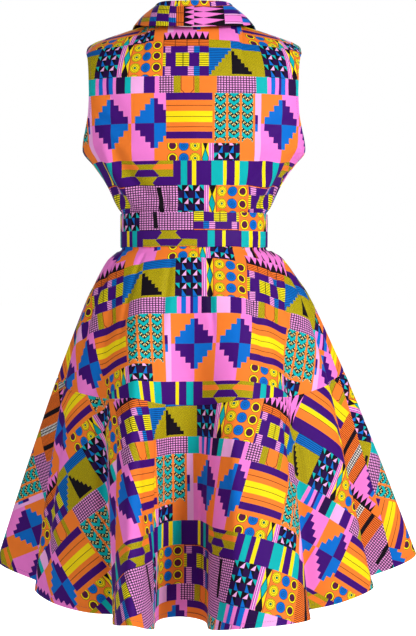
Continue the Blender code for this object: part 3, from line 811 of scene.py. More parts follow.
bodice = {
    "wall": 0.0010,
    "seamGap": 0.0001,
    "turnedEdge": 0.0007,        # how much thicker the turned edges are
    "turnedWidth": 0.008, "turnedStep": 0.0012,
    "waistHeight": -0.3820, "bladeHeight": -0.130,
    "neckHalfWidth": 0.088, "neckHeight": 0.008,
    "shoulderSlope": 0.33, "ridgeDepth": -0.010, "seamDepth": 0.015,
    "backNeckDepth": 0.086, "backNeckDrop": 0.016,
    "frontLap": 0.0075, "lapDrop": 0.0024, "lapEdge": 0.012, "lapWidth": 0.022,
    # The two soft rises of the front: how far out and how low, their half width and height, rise
    "bust": (0.082, -0.190, 0.052, 0.060, 0.010),
    # The rounded tip of the shoulder: where it starts, how wide it is and how far it drops
    "tip": (0.180, 0.022, 0.006),
    "shoulderTurn": 70, "neckTurn": 40,          # degrees of the back's arc at its top
    "foldFade": (-0.3495, -0.338),               # creases end between these heights, at the belt
    "lowerRows": 96, "backRows": 56, "frontRows": 60,
    "neckColumns": 42, "shoulderColumns": 60, "lapColumns": 26, "frontColumns": 70,
    "lapShare": 0.18,                            # share of a front's width that the lap's columns take
    # Place on the cloth of the centre back and of each front's edge at the shoulder blades
    "backPrint": (-0.1320, -0.0970), "leftPrint": (0.200, -0.060), "rightPrint": (-0.080, -0.060),
    # height, half width at the cut edge, half width of the body, back depth, front depth,
    # squareness
    "levels": (
        (-0.3820, 0.1352, 0.1352, 0.0975, 0.0975, 2.00),
        (-0.3490, 0.1352, 0.1352, 0.0975, 0.0975, 2.00),
        (-0.3400, 0.1412, 0.1412, 0.1025, 0.1040, 2.02),
        (-0.3150, 0.1557, 0.1557, 0.1080, 0.1130, 2.08),
        (-0.2850, 0.1745, 0.1745, 0.1130, 0.1230, 2.15),
        (-0.2550, 0.1935, 0.1935, 0.1180, 0.1320, 2.22),
        (-0.2320, 0.2085, 0.2085, 0.1210, 0.1370, 2.28),
        (-0.2150, 0.2055, 0.2100, 0.1230, 0.1380, 2.32),
        (-0.1940, 0.1995, 0.2120, 0.1245, 0.1370, 2.36),
        (-0.1640, 0.1935, 0.2150, 0.1255, 0.1320, 2.40),
        (-0.1300, 0.1915, 0.2180, 0.1250, 0.1220, 2.40),
    ),
    # share of the climb to the shoulder, half width of the cut edge
    "shoulderEdge": ((0.00, 0.1915), (0.30, 0.1930), (0.60, 0.1960), (0.85, 0.1998),
                     (1.00, 0.2015)),
    # Creases as across, height, across, height, bow, width, depth
    "backFolds": (
        (0.192, -0.226, 0.112, -0.352, 0.010, 0.012, -0.0100),
        (0.170, -0.222, 0.092, -0.352, 0.008, 0.008, 0.0050),
        (0.160, -0.205, 0.060, -0.345, 0.010, 0.012, -0.0060),
        (0.196, -0.262, 0.124, -0.352, 0.003, 0.006, 0.0045),
        (0.150, -0.262, 0.044, -0.352, 0.008, 0.007, 0.0028),
        (0.170, -0.120, 0.120, -0.230, -0.010, 0.014, -0.0036),
        (0.186, -0.170, 0.128, -0.212, -0.004, 0.010, -0.0034),
        (-0.194, -0.230, -0.112, -0.352, -0.010, 0.011, -0.0096),
        (-0.172, -0.218, -0.090, -0.352, -0.007, 0.008, 0.0048),
        (-0.160, -0.200, -0.060, -0.345, -0.010, 0.012, -0.0060),
        (-0.198, -0.268, -0.126, -0.352, -0.002, 0.006, 0.0042),
        (-0.140, -0.280, -0.040, -0.352, -0.006, 0.006, 0.0030),
        (-0.172, -0.110, -0.130, -0.226, 0.010, 0.013, -0.0038),
        (-0.186, -0.176, -0.120, -0.216, 0.004, 0.009, -0.0032),
        (0.022, -0.296, 0.018, -0.353, 0.001, 0.008, -0.0036),
        (-0.026, -0.302, -0.030, -0.353, -0.001, 0.007, -0.0040),
        (0.050, -0.308, 0.046, -0.353, 0.002, 0.006, -0.0034),
        (-0.064, -0.288, -0.060, -0.353, 0.002, 0.008, -0.0040),
        (0.002, -0.150, -0.010, -0.300, 0.004, 0.022, 0.0034),
        (0.066, -0.090, 0.054, -0.240, -0.006, 0.016, -0.0024),
        (-0.070, -0.080, -0.060, -0.250, 0.006, 0.016, -0.0024),
    ),
    "frontFolds": (
        (0.192, -0.228, 0.112, -0.352, 0.010, 0.011, -0.0090),
        (0.170, -0.222, 0.092, -0.352, 0.008, 0.008, 0.0044),
        (0.158, -0.214, 0.060, -0.345, 0.008, 0.012, -0.0056),
        (0.196, -0.262, 0.124, -0.352, 0.003, 0.006, 0.0040),
        (0.150, -0.128, 0.180, -0.196, 0.008, 0.012, -0.0040),
        (0.172, -0.150, 0.108, -0.190, 0.004, 0.010, -0.0030),
        (0.040, -0.286, 0.036, -0.353, 0.002, 0.008, -0.0038),
        (0.068, -0.294, 0.062, -0.353, 0.001, 0.007, -0.0036),
        (0.030, -0.100, 0.060, -0.220, 0.006, 0.014, -0.0022),
    ),
}


def section(height):
    # Cut half width, body half width, back depth, front depth and squareness at a height
    return tableAt(bodice["levels"], height)


def atTurn(turn, body, square):
    # How far across the oval a point lies: a sin(t)^(2 / n)
    return np.sign(turn) * body * np.abs(np.sin(turn)) ** (2 / square)


def turnOf(across, body, square):
    # Turn round the oval of a point that lies so far across
    share = np.clip(np.abs(across) / body, 0, 1)
    return np.sign(across) * np.arcsin(share ** (square / 2))


def ovalDepth(across, body, square):
    # Share of the full depth at a place across: (1 - (x / a)^n)^(1 / n)
    share = np.clip(np.abs(across) / body, 0, 1)
    return (1 - share ** square) ** (1 / square)


def bust(across, height):
    # Two soft rises: r exp(-((|x| - out) / w)^2) exp(-((z - low) / h)^2)
    out, low, wide, high, rise = bodice["bust"]
    side = np.exp(-((np.abs(across) - out) / wide) ** 2)
    return rise * side * np.exp(-((height - low) / high) ** 2)


def ridgeTop(across):
    # Height of the shoulder ridge: level inside the neck, then falling and rounded at the tip
    start, wide, drop = bodice["tip"]
    out = np.maximum(np.abs(across) - bodice["neckHalfWidth"], 0)
    tip = np.clip((np.abs(across) - start) / wide, 0, 1)
    return bodice["neckHeight"] - out * bodice["shoulderSlope"] - drop * tip ** 2


def frontReach(across):
    # How far the front stands before the ridge at the level of the shoulder blades
    edge, body, back, front, square = section(bodice["bladeHeight"])
    return front * ovalDepth(across, body, square) + bodice["ridgeDepth"]


def seamTurn(across):
    # Angle over the ridge at which the front meets the shoulder seam
    return np.arccos(-(bodice["seamDepth"] - bodice["ridgeDepth"]) / frontReach(across))


def frontUpper(across, climb):
    # Front above the shoulder blades: an arc up to the ridge and a little over it to the seam
    b = bodice
    angle = climb * (seamTurn(across) - b["seamGap"] / frontReach(across))
    z = b["bladeHeight"] + (ridgeTop(across) - b["bladeHeight"]) * np.sin(angle)
    y = b["ridgeDepth"] - frontReach(across) * np.cos(angle) - bust(across, z)
    return np.stack([across + 0 * y, y, z], -1)


def frontAt(across, height):
    # Depth of the front above the shoulder blades at a place given by its width and height
    b = bodice
    rise = (height - b["bladeHeight"]) / (ridgeTop(across) - b["bladeHeight"])
    cosine = np.sqrt(1 - np.clip(rise, 0, 1) ** 2)
    return b["ridgeDepth"] - frontReach(across) * cosine - bust(across, height)


def backUpper(across, climb):
    # Back above the shoulder blades: an arc over the shoulder, or a steeper one to the neckline
    b = bodice
    edge, body, back, front, square = section(b["bladeHeight"])
    neck = np.clip(1 - (np.abs(across) / b["neckHalfWidth"]) ** 2, 0, 1)
    seam = b["seamDepth"]
    topDepth = seam + b["seamGap"] + (b["backNeckDepth"] - seam) * np.sqrt(neck)
    rise = ridgeTop(across) - b["bladeHeight"]
    topHeight = b["bladeHeight"] + rise * np.sin(seamTurn(across)) - b["backNeckDrop"] * neck
    turn = np.radians(b["shoulderTurn"] + (b["neckTurn"] - b["shoulderTurn"]) * neck)
    angle = climb * turn
    depth = back * ovalDepth(across, body, square)
    share = (np.cos(angle) - np.cos(turn)) / (1 - np.cos(turn))
    y = topDepth + (depth - topDepth) * share
    z = b["bladeHeight"] + (topHeight - b["bladeHeight"]) * np.sin(angle) / np.sin(turn)
    return np.stack([across + 0 * y, y, z], -1)


def lowerCloth(turns, heights, side):
    # Rows of the bodice below the shoulder blades; side is 1 for the back and -1 for the front
    edge, body, back, front, square = section(heights)
    across = atTurn(turns, body, square)
    depth = ovalDepth(across, body, square)
    y = back * depth if side > 0 else -front * depth - bust(across, heights) * depth
    return np.stack([across, y, heights + 0 * across], -1)


def edgeTurn(heights):
    # Turn round the oval at which the armhole or the side seam cuts the cloth
    edge, body, back, front, square = section(heights)
    return turnOf(edge, body, square)


def upperEdge(climb):
    # Half width of the cut edge above the shoulder blades
    return tableAt(bodice["shoulderEdge"], climb)[0]


def frontInner(climb):
    # The V of the front: from the lap up to the neck point, then along the ridge
    b = bodice
    angle = np.minimum(climb * seamTurn(b["neckHalfWidth"]), math.pi / 2)
    return -b["frontLap"] + (b["neckHalfWidth"] + b["frontLap"]) * np.sin(angle)


def lowerHeights():
    # Heights from just above the waist seam up to the shoulder blades
    b = bodice
    return np.linspace(b["waistHeight"] + b["seamGap"], b["bladeHeight"], b["lowerRows"])[:, None]


def bodiceFolds(points, folds):
    # Height of the creases over a panel, which end at the belt
    bump = creased(points[..., 0], points[..., 2], folds)
    return (bump * eased(*bodice["foldFade"], points[..., 2]))[..., None]


def seamSpread(count):
    # Shares from 0 to 1 that lie closer together near both ends
    t = np.linspace(0, 1, count)
    return 0.75 * t + 0.25 * (1 - np.cos(math.pi * t)) / 2


def backBodice():
    # Middle surface of the back, from the waist up to the neckline and the shoulder seams
    b = bodice
    edge, body, back, front, square = section(b["bladeHeight"])
    neck = float(turnOf(b["neckHalfWidth"], body, square) / turnOf(upperEdge(1.0), body, square))
    shoulder = neck + (1 - neck) * seamSpread(b["shoulderColumns"])[1:]
    half = np.concatenate([np.linspace(0, neck, b["neckColumns"]), shoulder])
    columns = np.concatenate([-half[:0:-1], half])[None, :]
    heights = lowerHeights()
    lower = lowerCloth(columns * edgeTurn(heights), heights, 1)
    climb = np.linspace(0, 1, b["backRows"])[1:, None]
    upper = backUpper(atTurn(columns * turnOf(upperEdge(climb), body, square), body, square), climb)
    points = np.concatenate([lower, upper])
    return points + normals(points) * bodiceFolds(points, b["backFolds"])


def frontBodice(side, drop):
    # Middle surface of one front; side is 1 for the wearer's left and -1 for the right, and drop
    # is how far its edge lies under the other front
    b = bodice
    lap = b["lapShare"]
    columns = np.concatenate([np.linspace(0, lap, b["lapColumns"]),
                              lap + (1 - lap) * seamSpread(b["frontColumns"])[1:]])
    heights = lowerHeights()
    edge, body, back, front, square = section(heights)
    inner = turnOf(-b["frontLap"], body, square)
    lower = lowerCloth(inner + (turnOf(edge, body, square) - inner) * columns, heights, -1)
    edge, body, back, front, square = section(b["bladeHeight"])
    climb = np.linspace(0, 1, b["frontRows"])[1:, None]
    inner = turnOf(frontInner(climb), body, square)
    turns = inner + (turnOf(upperEdge(climb), body, square) - inner) * columns
    upper = frontUpper(atTurn(turns, body, square), climb)
    points = np.concatenate([lower, upper])
    near = 1 - eased(b["lapEdge"], b["lapEdge"] + b["lapWidth"], points[..., 0])
    low = np.clip((b["bladeHeight"] + b["lapEdge"] - points[..., 2]) / b["lapEdge"], 0, 1)
    points[..., 1] += drop * near * low
    points = points - normals(points) * bodiceFolds(points, b["frontFolds"])
    points[..., 0] *= side
    return points


def panelPlaces(points, zero, start, sign):
    # Flat place of a bodice panel: distance run along each row from the column zero, and the
    # distance run down that column, or down each one above the shoulder blades.  The start is the
    # place of the column zero at the shoulder blades
    blade = bodice["lowerRows"] - 1
    across = steps(points, 1)
    across = across - across[:, zero:zero + 1]
    down = steps(points, 0)
    down = down - down[blade]
    level = np.maximum(down, 0) + np.minimum(down, 0)[:, zero:zero + 1]
    return np.stack([start[0] + sign * across, start[1] + level], -1)


def turnedWall(points):
    # Wall of a panel, thicker by the turned edge near its two sides
    b = bodice
    across = steps(points, 1)
    near = np.minimum(across, across[:, -1:] - across)
    width = b["turnedWidth"]
    return b["wall"] + b["turnedEdge"] * (1 - eased(width, width + b["turnedStep"], near))


def bodicePanel(name, node, points, zero, start, sign, facing):
    # One panel as a piece, with its print
    places = panelPlaces(points, zero, start, sign)
    mesh = shellMesh(name, points, places, turnedWall(points), facing)
    return piece(mesh, (bodiceCotton, wrongSide), (node,))


# Seen from behind, the print runs to the right, which is the wearer's right
backPoints = backBodice()
backPiece = bodicePanel("bodiceBack", "bodice_back", backPoints,
                        backPoints.shape[1] // 2, bodice["backPrint"], -1, 1)
frontGrids = {1: frontBodice(1, bodice["lapDrop"]), -1: frontBodice(-1, 0.0)}
frontPieces = [
    bodicePanel(name, node, frontGrids[side], 0, bodice[start], side, -side)
    for side, name, node, start in (
        (1, "bodiceFrontLeft", "bodice_front_left", "leftPrint"),
        (-1, "bodiceFrontRight", "bodice_front_right", "rightPrint"))]
print("bodice made")


# The skirt

skirt = {
    "wall": 0.0010,
    "seamGap": 0.0001,
    "slant": 0.709,
    "tierSeam": 0.320,
    "seamDip": 0.0009, "seamWidth": 0.0022,     # how far the cloth dips into the tiers' seam
    "fluteStart": 0.045, "flutePower": 1.35,
    "waistHalfWidth": 0.1352, "waistHalfDepth": 0.0975,
    "meanLeft": 0.374, "meanRight": 0.392, "meanBack": 0.235, "meanFront": 0.245,
    "ovalPoints": 11520,
    "hemTurn": 0.010, "hemExtra": 0.0007, "hemStep": 0.001,
    "hemPoints": 96, "hemRounding": 480,         # points for each one below, and rounds of averaging
    "columns": 361,
    # Rows: from, to and how many, then the ones close to the seam, and both tiers' other rows
    "rowSpans": ((0, 0.030, 4), (0.030, 0.110, 27)),
    "seamRows": (0.0011, 0.0022, 0.0036, 0.0060), "seamReach": 0.009,
    "upperRows": 34, "lowerRows": 62,
    # Radius of each tier's upper edge when it is laid flat, and the angle of the whole ring
    "cuts": {"Upper": (0.279, 2.64), "Lower": (0.401, 3.94)},
    # Place on the cloth of the middle of each tier's upper edge
    "prints": {"UpperBack": (0.0330, 0.0520), "LowerBack": (-0.0070, -0.0170),
               "UpperFront": (0.5200, 0.0200), "LowerFront": (0.1200, -0.1500)},
    # length along the cloth, how far it has reached towards the mean hem
    "reach": (
        (0.0000, 0.000), (0.0312, 0.000), (0.0470, 0.048), (0.0690, 0.120), (0.1200, 0.236),
        (0.1550, 0.308), (0.2540, 0.458), (0.3510, 0.590), (0.4490, 0.710), (0.5440, 0.822),
        (0.6400, 0.928), (0.7090, 1.000),
    ),
    # The hem seen from above, flute by flute from the wearer's left side by way of the back: each
    # point's place towards the wearer's left and towards the back
    "hem": {
        "left side": ((0.388, -0.105), (0.300, -0.060)),
        "left back": ((0.300, 0.005), (0.252, 0.082), (0.186, 0.124)),
        "left of centre": ((0.134, 0.124), (0.138, 0.232), (0.102, 0.322), (0.068, 0.245)),
        "centre recess": ((0.066, 0.130), (0.022, 0.096), (-0.022, 0.130)),
        "right of centre": ((-0.030, 0.222), (-0.070, 0.284), (-0.148, 0.274), (-0.206, 0.205),
                            (-0.190, 0.110)),
        "right back": ((-0.262, 0.088), (-0.336, 0.034)),
        "right side": ((-0.322, -0.040), (-0.430, -0.070), (-0.400, -0.172)),
        "right front": ((-0.322, -0.168), (-0.318, -0.232), (-0.270, -0.286), (-0.212, -0.262),
                        (-0.178, -0.196)),
        "front right": ((-0.142, -0.250), (-0.094, -0.306), (-0.042, -0.262)),
        "front centre": ((-0.004, -0.206),),
        "front left": ((0.038, -0.260), (0.090, -0.302), (0.140, -0.252)),
        "left front": ((0.176, -0.198), (0.210, -0.258), (0.266, -0.288), (0.312, -0.236),
                       (0.310, -0.170)),
        "left side, front": ((0.364, -0.178),),
    },
    "foldStretch": 0.25,         # lengths count so much against shares of the way round
    "foldFade": (0.031, 0.060),  # creases start between these lengths, at the belt
    # Soft creases as share of the way round, length, share, length, bow, width in shares, depth
    "folds": (
        (-0.190, 0.034, -0.205, 0.300, 0.004, 0.0075, -0.0056),
        (-0.118, 0.034, -0.128, 0.240, -0.003, 0.0062, -0.0048),
        (-0.046, 0.034, -0.050, 0.290, 0.003, 0.0072, -0.0046),
        (0.030, 0.034, 0.036, 0.210, 0.002, 0.0058, -0.0040),
        (0.094, 0.034, 0.106, 0.300, -0.003, 0.0075, -0.0054),
        (0.168, 0.034, 0.180, 0.260, 0.004, 0.0065, -0.0048),
        (0.222, 0.034, 0.230, 0.300, 0.003, 0.0070, -0.0058),
        (0.330, 0.034, 0.336, 0.300, -0.002, 0.0070, -0.0048),
        (0.420, 0.034, 0.424, 0.300, 0.003, 0.0075, -0.0050),
        (0.560, 0.034, 0.556, 0.300, 0.002, 0.0070, -0.0048),
        (0.660, 0.034, 0.668, 0.300, -0.003, 0.0070, -0.0050),
        (-0.216, 0.330, -0.214, 0.700, 0.003, 0.0070, -0.0080),
        (-0.170, 0.330, -0.166, 0.700, -0.003, 0.0060, 0.0056),
        (-0.120, 0.325, -0.118, 0.704, 0.003, 0.0070, -0.0080),
        (-0.084, 0.325, -0.078, 0.704, 0.002, 0.0055, 0.0050),
        (-0.052, 0.325, -0.046, 0.704, -0.002, 0.0050, -0.0064),
        (0.008, 0.325, 0.004, 0.704, 0.002, 0.0052, -0.0060),
        (0.064, 0.325, 0.070, 0.704, 0.002, 0.0050, 0.0052),
        (0.120, 0.325, 0.118, 0.704, -0.003, 0.0064, -0.0086),
        (0.160, 0.330, 0.166, 0.700, 0.002, 0.0056, 0.0052),
        (0.206, 0.330, 0.208, 0.700, -0.003, 0.0066, -0.0074),
        (0.300, 0.330, 0.304, 0.700, 0.003, 0.0066, -0.0070),
        (0.390, 0.330, 0.394, 0.700, -0.003, 0.0066, -0.0066),
        (0.610, 0.330, 0.606, 0.700, 0.003, 0.0066, -0.0066),
        (0.700, 0.330, 0.698, 0.700, -0.003, 0.0066, -0.0070),
    ),
}


def ring(left, right, back, front):
    # Oval seen from above, from the wearer's left by way of the back
    turn = np.linspace(0, 2 * math.pi, skirt["ovalPoints"], endpoint=False) - math.pi / 6
    x = np.where(np.cos(turn) > 0, left, right) * np.cos(turn)
    y = np.where(np.sin(turn) > 0, back, front) * np.sin(turn)
    return np.stack([x, y], -1)


def waistRing(off=0.0):
    # The waist's oval, let out all round
    wide = skirt["waistHalfWidth"] + off
    deep = skirt["waistHalfDepth"] + off
    return ring(wide, wide, deep, deep)


def hemLine():
    # Closed smooth curve through the hem points, rounded off by averaging neighbours
    points = np.array([point for flute in skirt["hem"].values() for point in flute])
    share = np.linspace(0, 1, skirt["hemPoints"], endpoint=False)[None, :, None]
    before = np.roll(points, 1, 0)[:, None]
    here = points[:, None]
    after = np.roll(points, -1, 0)[:, None]
    later = np.roll(points, -2, 0)[:, None]
    first = (after - before) * share
    second = (2 * before - 5 * here + 4 * after - later) * share ** 2
    third = (3 * here - before - 3 * after + later) * share ** 3
    curve = (0.5 * (2 * here + first + second + third)).reshape(-1, 2)
    for turn in range(skirt["hemRounding"]):
        curve = (np.roll(curve, 1, 0) + 2 * curve + np.roll(curve, -1, 0)) / 4
    return curve


def along(curve, shares):
    # Points at shares of a closed curve's length, counted from where it crosses the centre back
    closed = np.vstack([curve, curve[:1]])
    length = steps(closed, 0)
    crosses = (closed[:-1, 0] >= 0) & (closed[1:, 0] < 0) & (closed[:-1, 1] > 0)
    row = int(np.argmax(crosses))
    part = closed[row, 0] / (closed[row, 0] - closed[row + 1, 0])
    start = length[row] + part * (length[row + 1] - length[row])
    places = (np.asarray(shares) * length[-1] + start) % length[-1]
    return pointsAt(length, closed, places)


skirtHem = hemLine()


def skirtCloth(shares, lengths):
    # Middle surface of the skirt.  A point goes from the waist oval to the mean hem by the reach
    # table, and the flutes grow from the hem's own curve with a power of the length.  The height
    # follows from each thread keeping its length: dz^2 = ds^2 - dx^2 - dy^2
    s = skirt
    waist = along(waistRing(), shares)
    mean = along(ring(s["meanLeft"], s["meanRight"], s["meanBack"], s["meanFront"]), shares)
    hem = along(skirtHem, shares)
    reach = tableAt(s["reach"], lengths)[0][:, None, None]
    start = s["fluteStart"]
    grown = np.clip((lengths - start) / (s["slant"] - start), 0, 1) ** s["flutePower"]
    flat = waist + (mean - waist) * reach + (hem - mean) * grown[:, None, None]
    across = np.sum(np.diff(flat, axis=0) ** 2, -1)
    drop = np.sqrt(np.maximum(np.diff(lengths)[:, None] ** 2 - across, 1e-8))
    fallen = np.vstack([np.zeros(len(shares)), np.cumsum(drop, 0)])
    height = bodice["waistHeight"] - s["seamGap"] - fallen
    points = np.concatenate([flat, height[..., None]], -1)
    short = s["foldStretch"]
    folds = [(a, b * short, c, d * short, *rest) for a, b, c, d, *rest in s["folds"]]
    bump = creased(shares[None, :], lengths[:, None] * short, folds)
    bump = bump * eased(*s["foldFade"], lengths)[:, None]
    return points + normals(points) * bump[..., None]


def tierPlaces(points, lengths, cut, start):
    # Flat place on a tier, cut as a part of a ring: radius r0 + s, and an angle by the share of
    # each row's own length.  The start is the place of the middle of its upper edge
    radius, turn = cut
    across = steps(points, 1)
    share = across / across[:, -1:]
    middle = share.shape[1] // 2
    angle = (share - share[:, middle:middle + 1]) * turn / 2
    radius = radius + (lengths - lengths[0])[:, None]
    down = radius * np.cos(angle) - radius[0, 0]
    return np.stack([start[0] + radius * np.sin(angle), start[1] - down], -1)


def tierRows():
    # Lengths of the rows of the upper and of the lower tier, which meet at the seam
    s = skirt
    seam = s["tierSeam"]
    gap = s["seamGap"] / 2
    close = np.array(s["seamRows"])
    reach = s["seamReach"]
    spans = [np.linspace(*span, endpoint=False) for span in s["rowSpans"]]
    above = np.linspace(s["rowSpans"][-1][1], seam - reach, s["upperRows"])
    below = np.linspace(seam + reach, s["slant"], s["lowerRows"])
    return (np.concatenate([*spans, above, seam - close[::-1], [seam - gap]]),
            np.concatenate([[seam + gap], seam + close, below]))


def buildTiers(side, middle):
    # The two tiers of the front or the back half of the skirt
    s = skirt
    upper, lower = tierRows()
    lengths = np.concatenate([upper, lower])
    shares = np.linspace(middle - 0.25, middle + 0.25, s["columns"])
    cloth = skirtCloth(shares, lengths)
    dip = s["seamDip"] * np.exp(-((lengths - s["tierSeam"]) / s["seamWidth"]) ** 2)
    cloth = cloth - normals(cloth) * dip[:, None, None]
    hem = s["slant"] - s["hemTurn"]
    wall = s["wall"] + s["hemExtra"] * eased(hem - s["hemStep"], hem, lengths)
    made = []
    for tier, rows in (("Upper", slice(0, len(upper))), ("Lower", slice(len(upper), None))):
        points = cloth[rows]
        places = tierPlaces(points, lengths[rows], s["cuts"][tier], s["prints"][tier + side])
        mesh = shellMesh("skirt" + tier + side, points, places, wall[rows][:, None])
        thing = piece(mesh, (skirtCotton, skirtWrongSide),
                      ("skirt_%s_%s" % (tier.lower(), side.lower()),))
        made.append((thing, points))
    return made


skirtTiers = buildTiers("Back", 0.0) + buildTiers("Front", 0.5)
print("skirt made")


# The collar

collar = {
    "wall": 0.0016, "footIn": 0.0015,
    "neckShare": 0.60, "climb": 0.62,
    "columns": 321, "standRows": 14, "fallRows": 30,
    "fallClear": 0.0042, "fallRound": 0.0030, "fallOff": 0.0022,
    "standPrint": (0.100, -0.060), "fallPrint": (0.1600, 0.0170),
    # share of the way from the centre back, height, lean towards the neck, lean forwards
    "stand": ((0.00, 0.0510, 0.00, 0.20), (0.30, 0.0450, 0.24, 0.14), (0.60, 0.0340, 0.42, 0.05),
              (0.80, 0.0260, 0.36, 0.10), (1.00, 0.0200, 0.30, 0.20)),
    # share of the way, start under the stand's top, and the fall's edge: across, back, height
    "fall": ((0.00, 0.0130, 0.000, 0.1060, -0.0135), (0.20, 0.0120, 0.048, 0.0985, -0.0115),
             (0.40, 0.0080, 0.089, 0.0670, -0.0060), (0.60, 0.0045, 0.111, 0.0160, 0.0040),
             (0.78, 0.0045, 0.118, -0.0400, -0.0020), (0.92, 0.0045, 0.116, -0.0800, -0.0280),
             (1.00, 0.0045, 0.104, -0.1030, -0.0600)),
}


def neckLine(shares):
    # Edge of the cloth round the neck.  A share of 0 is the centre back, 1 and -1 the front ends
    size = np.abs(shares)
    neckShare = collar["neckShare"]
    turn = np.clip(size / neckShare, 0, 1) * math.pi / 2
    behind = backUpper(bodice["neckHalfWidth"] * np.sin(turn), 1.0)
    down = np.clip((size - neckShare) / (1 - neckShare), 0, 1)
    climb = 1 - down * collar["climb"]
    before = frontUpper(frontInner(climb), climb)
    points = np.where((size <= neckShare)[:, None], behind, before)
    points[:, 0] *= np.sign(shares)
    return points


def collarFrame(shares):
    # Foot of the stand, its direction upwards and its height
    edge = neckLine(shares)
    size = np.abs(shares)
    inward = unit(np.stack([-edge[:, 0], -np.maximum(edge[:, 1], 0), 0 * size], -1))
    foot = edge + (inward + np.array([0, 0, 1])) * collar["footIn"]
    tall, leanIn, leanOn = tableAt(collar["stand"], size)
    upward = unit(np.stack([-np.sign(shares) * leanIn, -leanOn, np.ones_like(size)], -1))
    return foot, upward, tall


def collarStand(shares, parts):
    # Middle surface of the stand, from its foot to its top
    foot, upward, tall = collarFrame(shares)
    return foot + upward * (tall * parts[:, None])[..., None]


def collarFall(shares, parts):
    # Middle surface of the fall, from the stand's outer face down to its own edge.  It is rounded
    # by r sin(pi t) and kept clear of the fronts
    foot, upward, tall = collarFrame(shares)
    begin, *edge = tableAt(collar["fall"], np.abs(shares))
    edge = np.stack(edge, -1)
    edge[:, 0] *= np.sign(shares)
    top = foot + upward * (tall - begin)[:, None]
    away = unit(np.cross(upward, np.gradient(top, axis=0)))
    top = top + away * collar["fallOff"]
    part = parts[:, None, None]
    rows = top + (edge - top) * part + away * collar["fallRound"] * np.sin(math.pi * part)
    limit = frontAt(rows[..., 0], rows[..., 2]) - collar["fallClear"]
    before = (rows[..., 1] < bodice["ridgeDepth"]) & (rows[..., 2] < ridgeTop(rows[..., 0]))
    rows[..., 1] = np.where(before, np.minimum(rows[..., 1], limit), rows[..., 1])
    return rows


def fromMiddle(run):
    # Distances counted from the middle column
    middle = run.shape[1] // 2
    return run - run[:, middle:middle + 1]


collarShares = np.linspace(-1, 1, collar["columns"])
standGrid = collarStand(collarShares, np.linspace(0, 1, collar["standRows"]))
fallGrid = collarFall(collarShares, np.linspace(0, 1, collar["fallRows"]))
standRun = fromMiddle(steps(standGrid, 1))[:1] + np.zeros(standGrid.shape[:2])
standPlaces = collar["standPrint"] + np.stack([-standRun, steps(standGrid, 0)], -1)
# The fall is cut with the print lying on its side
fallPlaces = collar["fallPrint"] + np.stack([steps(fallGrid, 0),
                                             -fromMiddle(steps(fallGrid, 1))], -1)
standMesh = shellMesh("collarStand", standGrid, standPlaces, collar["wall"], -1)
fallMesh = shellMesh("collarFall", fallGrid, fallPlaces, collar["wall"])
standPiece = piece(standMesh, (firmCotton, firmCotton), ("collar_stand",))
fallPiece = piece(fallMesh, (firmCotton, firmCotton), ("collar_fall",))
print("collar made")


# The belt

belt = {
    "top": -0.3495, "bottom": -0.4125, "wall": 0.0024, "off": 0.00255, "girth": 0.74,
    "ringCount": 480, "profileCount": 56,
    "rippleRows": ((0.0006, 7, 0.6), (0.0004, 17, 0.0)),       # depth, waves all round, shift
    "print": (0.0585, -0.2720),                # place on the cloth of its middle at the centre back
    # Level creases: share of the way round, height, share, height, bow, width, depth
    "folds": ((-0.420, 0.020, -0.300, 0.028, 0.002, 0.0030, 0.0007),
              (-0.160, 0.040, 0.060, 0.036, 0.003, 0.0034, 0.0008),
              (0.100, 0.016, 0.240, 0.022, -0.002, 0.0030, 0.0007),
              (0.300, 0.044, 0.430, 0.040, 0.002, 0.0030, 0.0008),
              (-0.080, 0.014, 0.020, 0.012, 0.001, 0.0026, 0.0006)),
    "knotWidth": 0.046, "knotHeight": 0.056, "knotDepth": 0.026, "knotBack": 0.10165,
    "knotCount": (64, 96), "knotSquare": 0.62, "knotEnds": 0.42,
    "knotWaist": 0.22, "pleatDepth": 0.090, "pleatTurns": 11.0, "pleatSlant": 0.55,
    "knotPrint": (0.05, 0.22), "knotPrintScale": (0.018, 0.028),
    "tailWidth": 0.050, "tailLength": 0.300, "tailTop": 0.0282, "tailCount": (90, 36),
    # Each end starts narrow at the knot and is fully wide after a share of its length
    "tailStart": 0.012, "wideAfter": 0.30, "spreadStart": 0.008, "spread": 0.060, "endSlant": 0.22,
    # It lies so far off the skirt, and further off near the knot
    "tailLift": 0.0042, "knotLift": 0.0138, "liftFade": 0.030,
    "tailPatch": (0.38, 0.62, 0.40),      # shares round the skirt and length that the ends lie in
    "tailPrint": (0.11, -0.03),
    # Creases down the ends: across, down, across, down, bow, width, depth
    "tailFolds": ((-0.004, 0.03, 0.003, 0.24, 0.002, 0.0028, 0.0009),
                  (0.009, 0.04, 0.012, 0.17, -0.002, 0.0026, 0.0007)),
}
beltHalf = (belt["top"] - belt["bottom"]) / 2
beltMiddle = (belt["top"] + belt["bottom"]) / 2


def signedPower(value, exponent):
    # A power that keeps the sign of its value
    return np.sign(value) * np.abs(value) ** exponent


def foldedProfile(count, half, wall):
    # Cross-section of a flattened tube of cloth: across from -half to half, out by half the wall,
    # a circle squared off by the powers 0.55 and 0.35
    turn = np.linspace(0, 2 * math.pi, count, endpoint=False) + math.pi / count
    return half * signedPower(np.cos(turn), 0.55), wall / 2 * signedPower(np.sin(turn), 0.35)


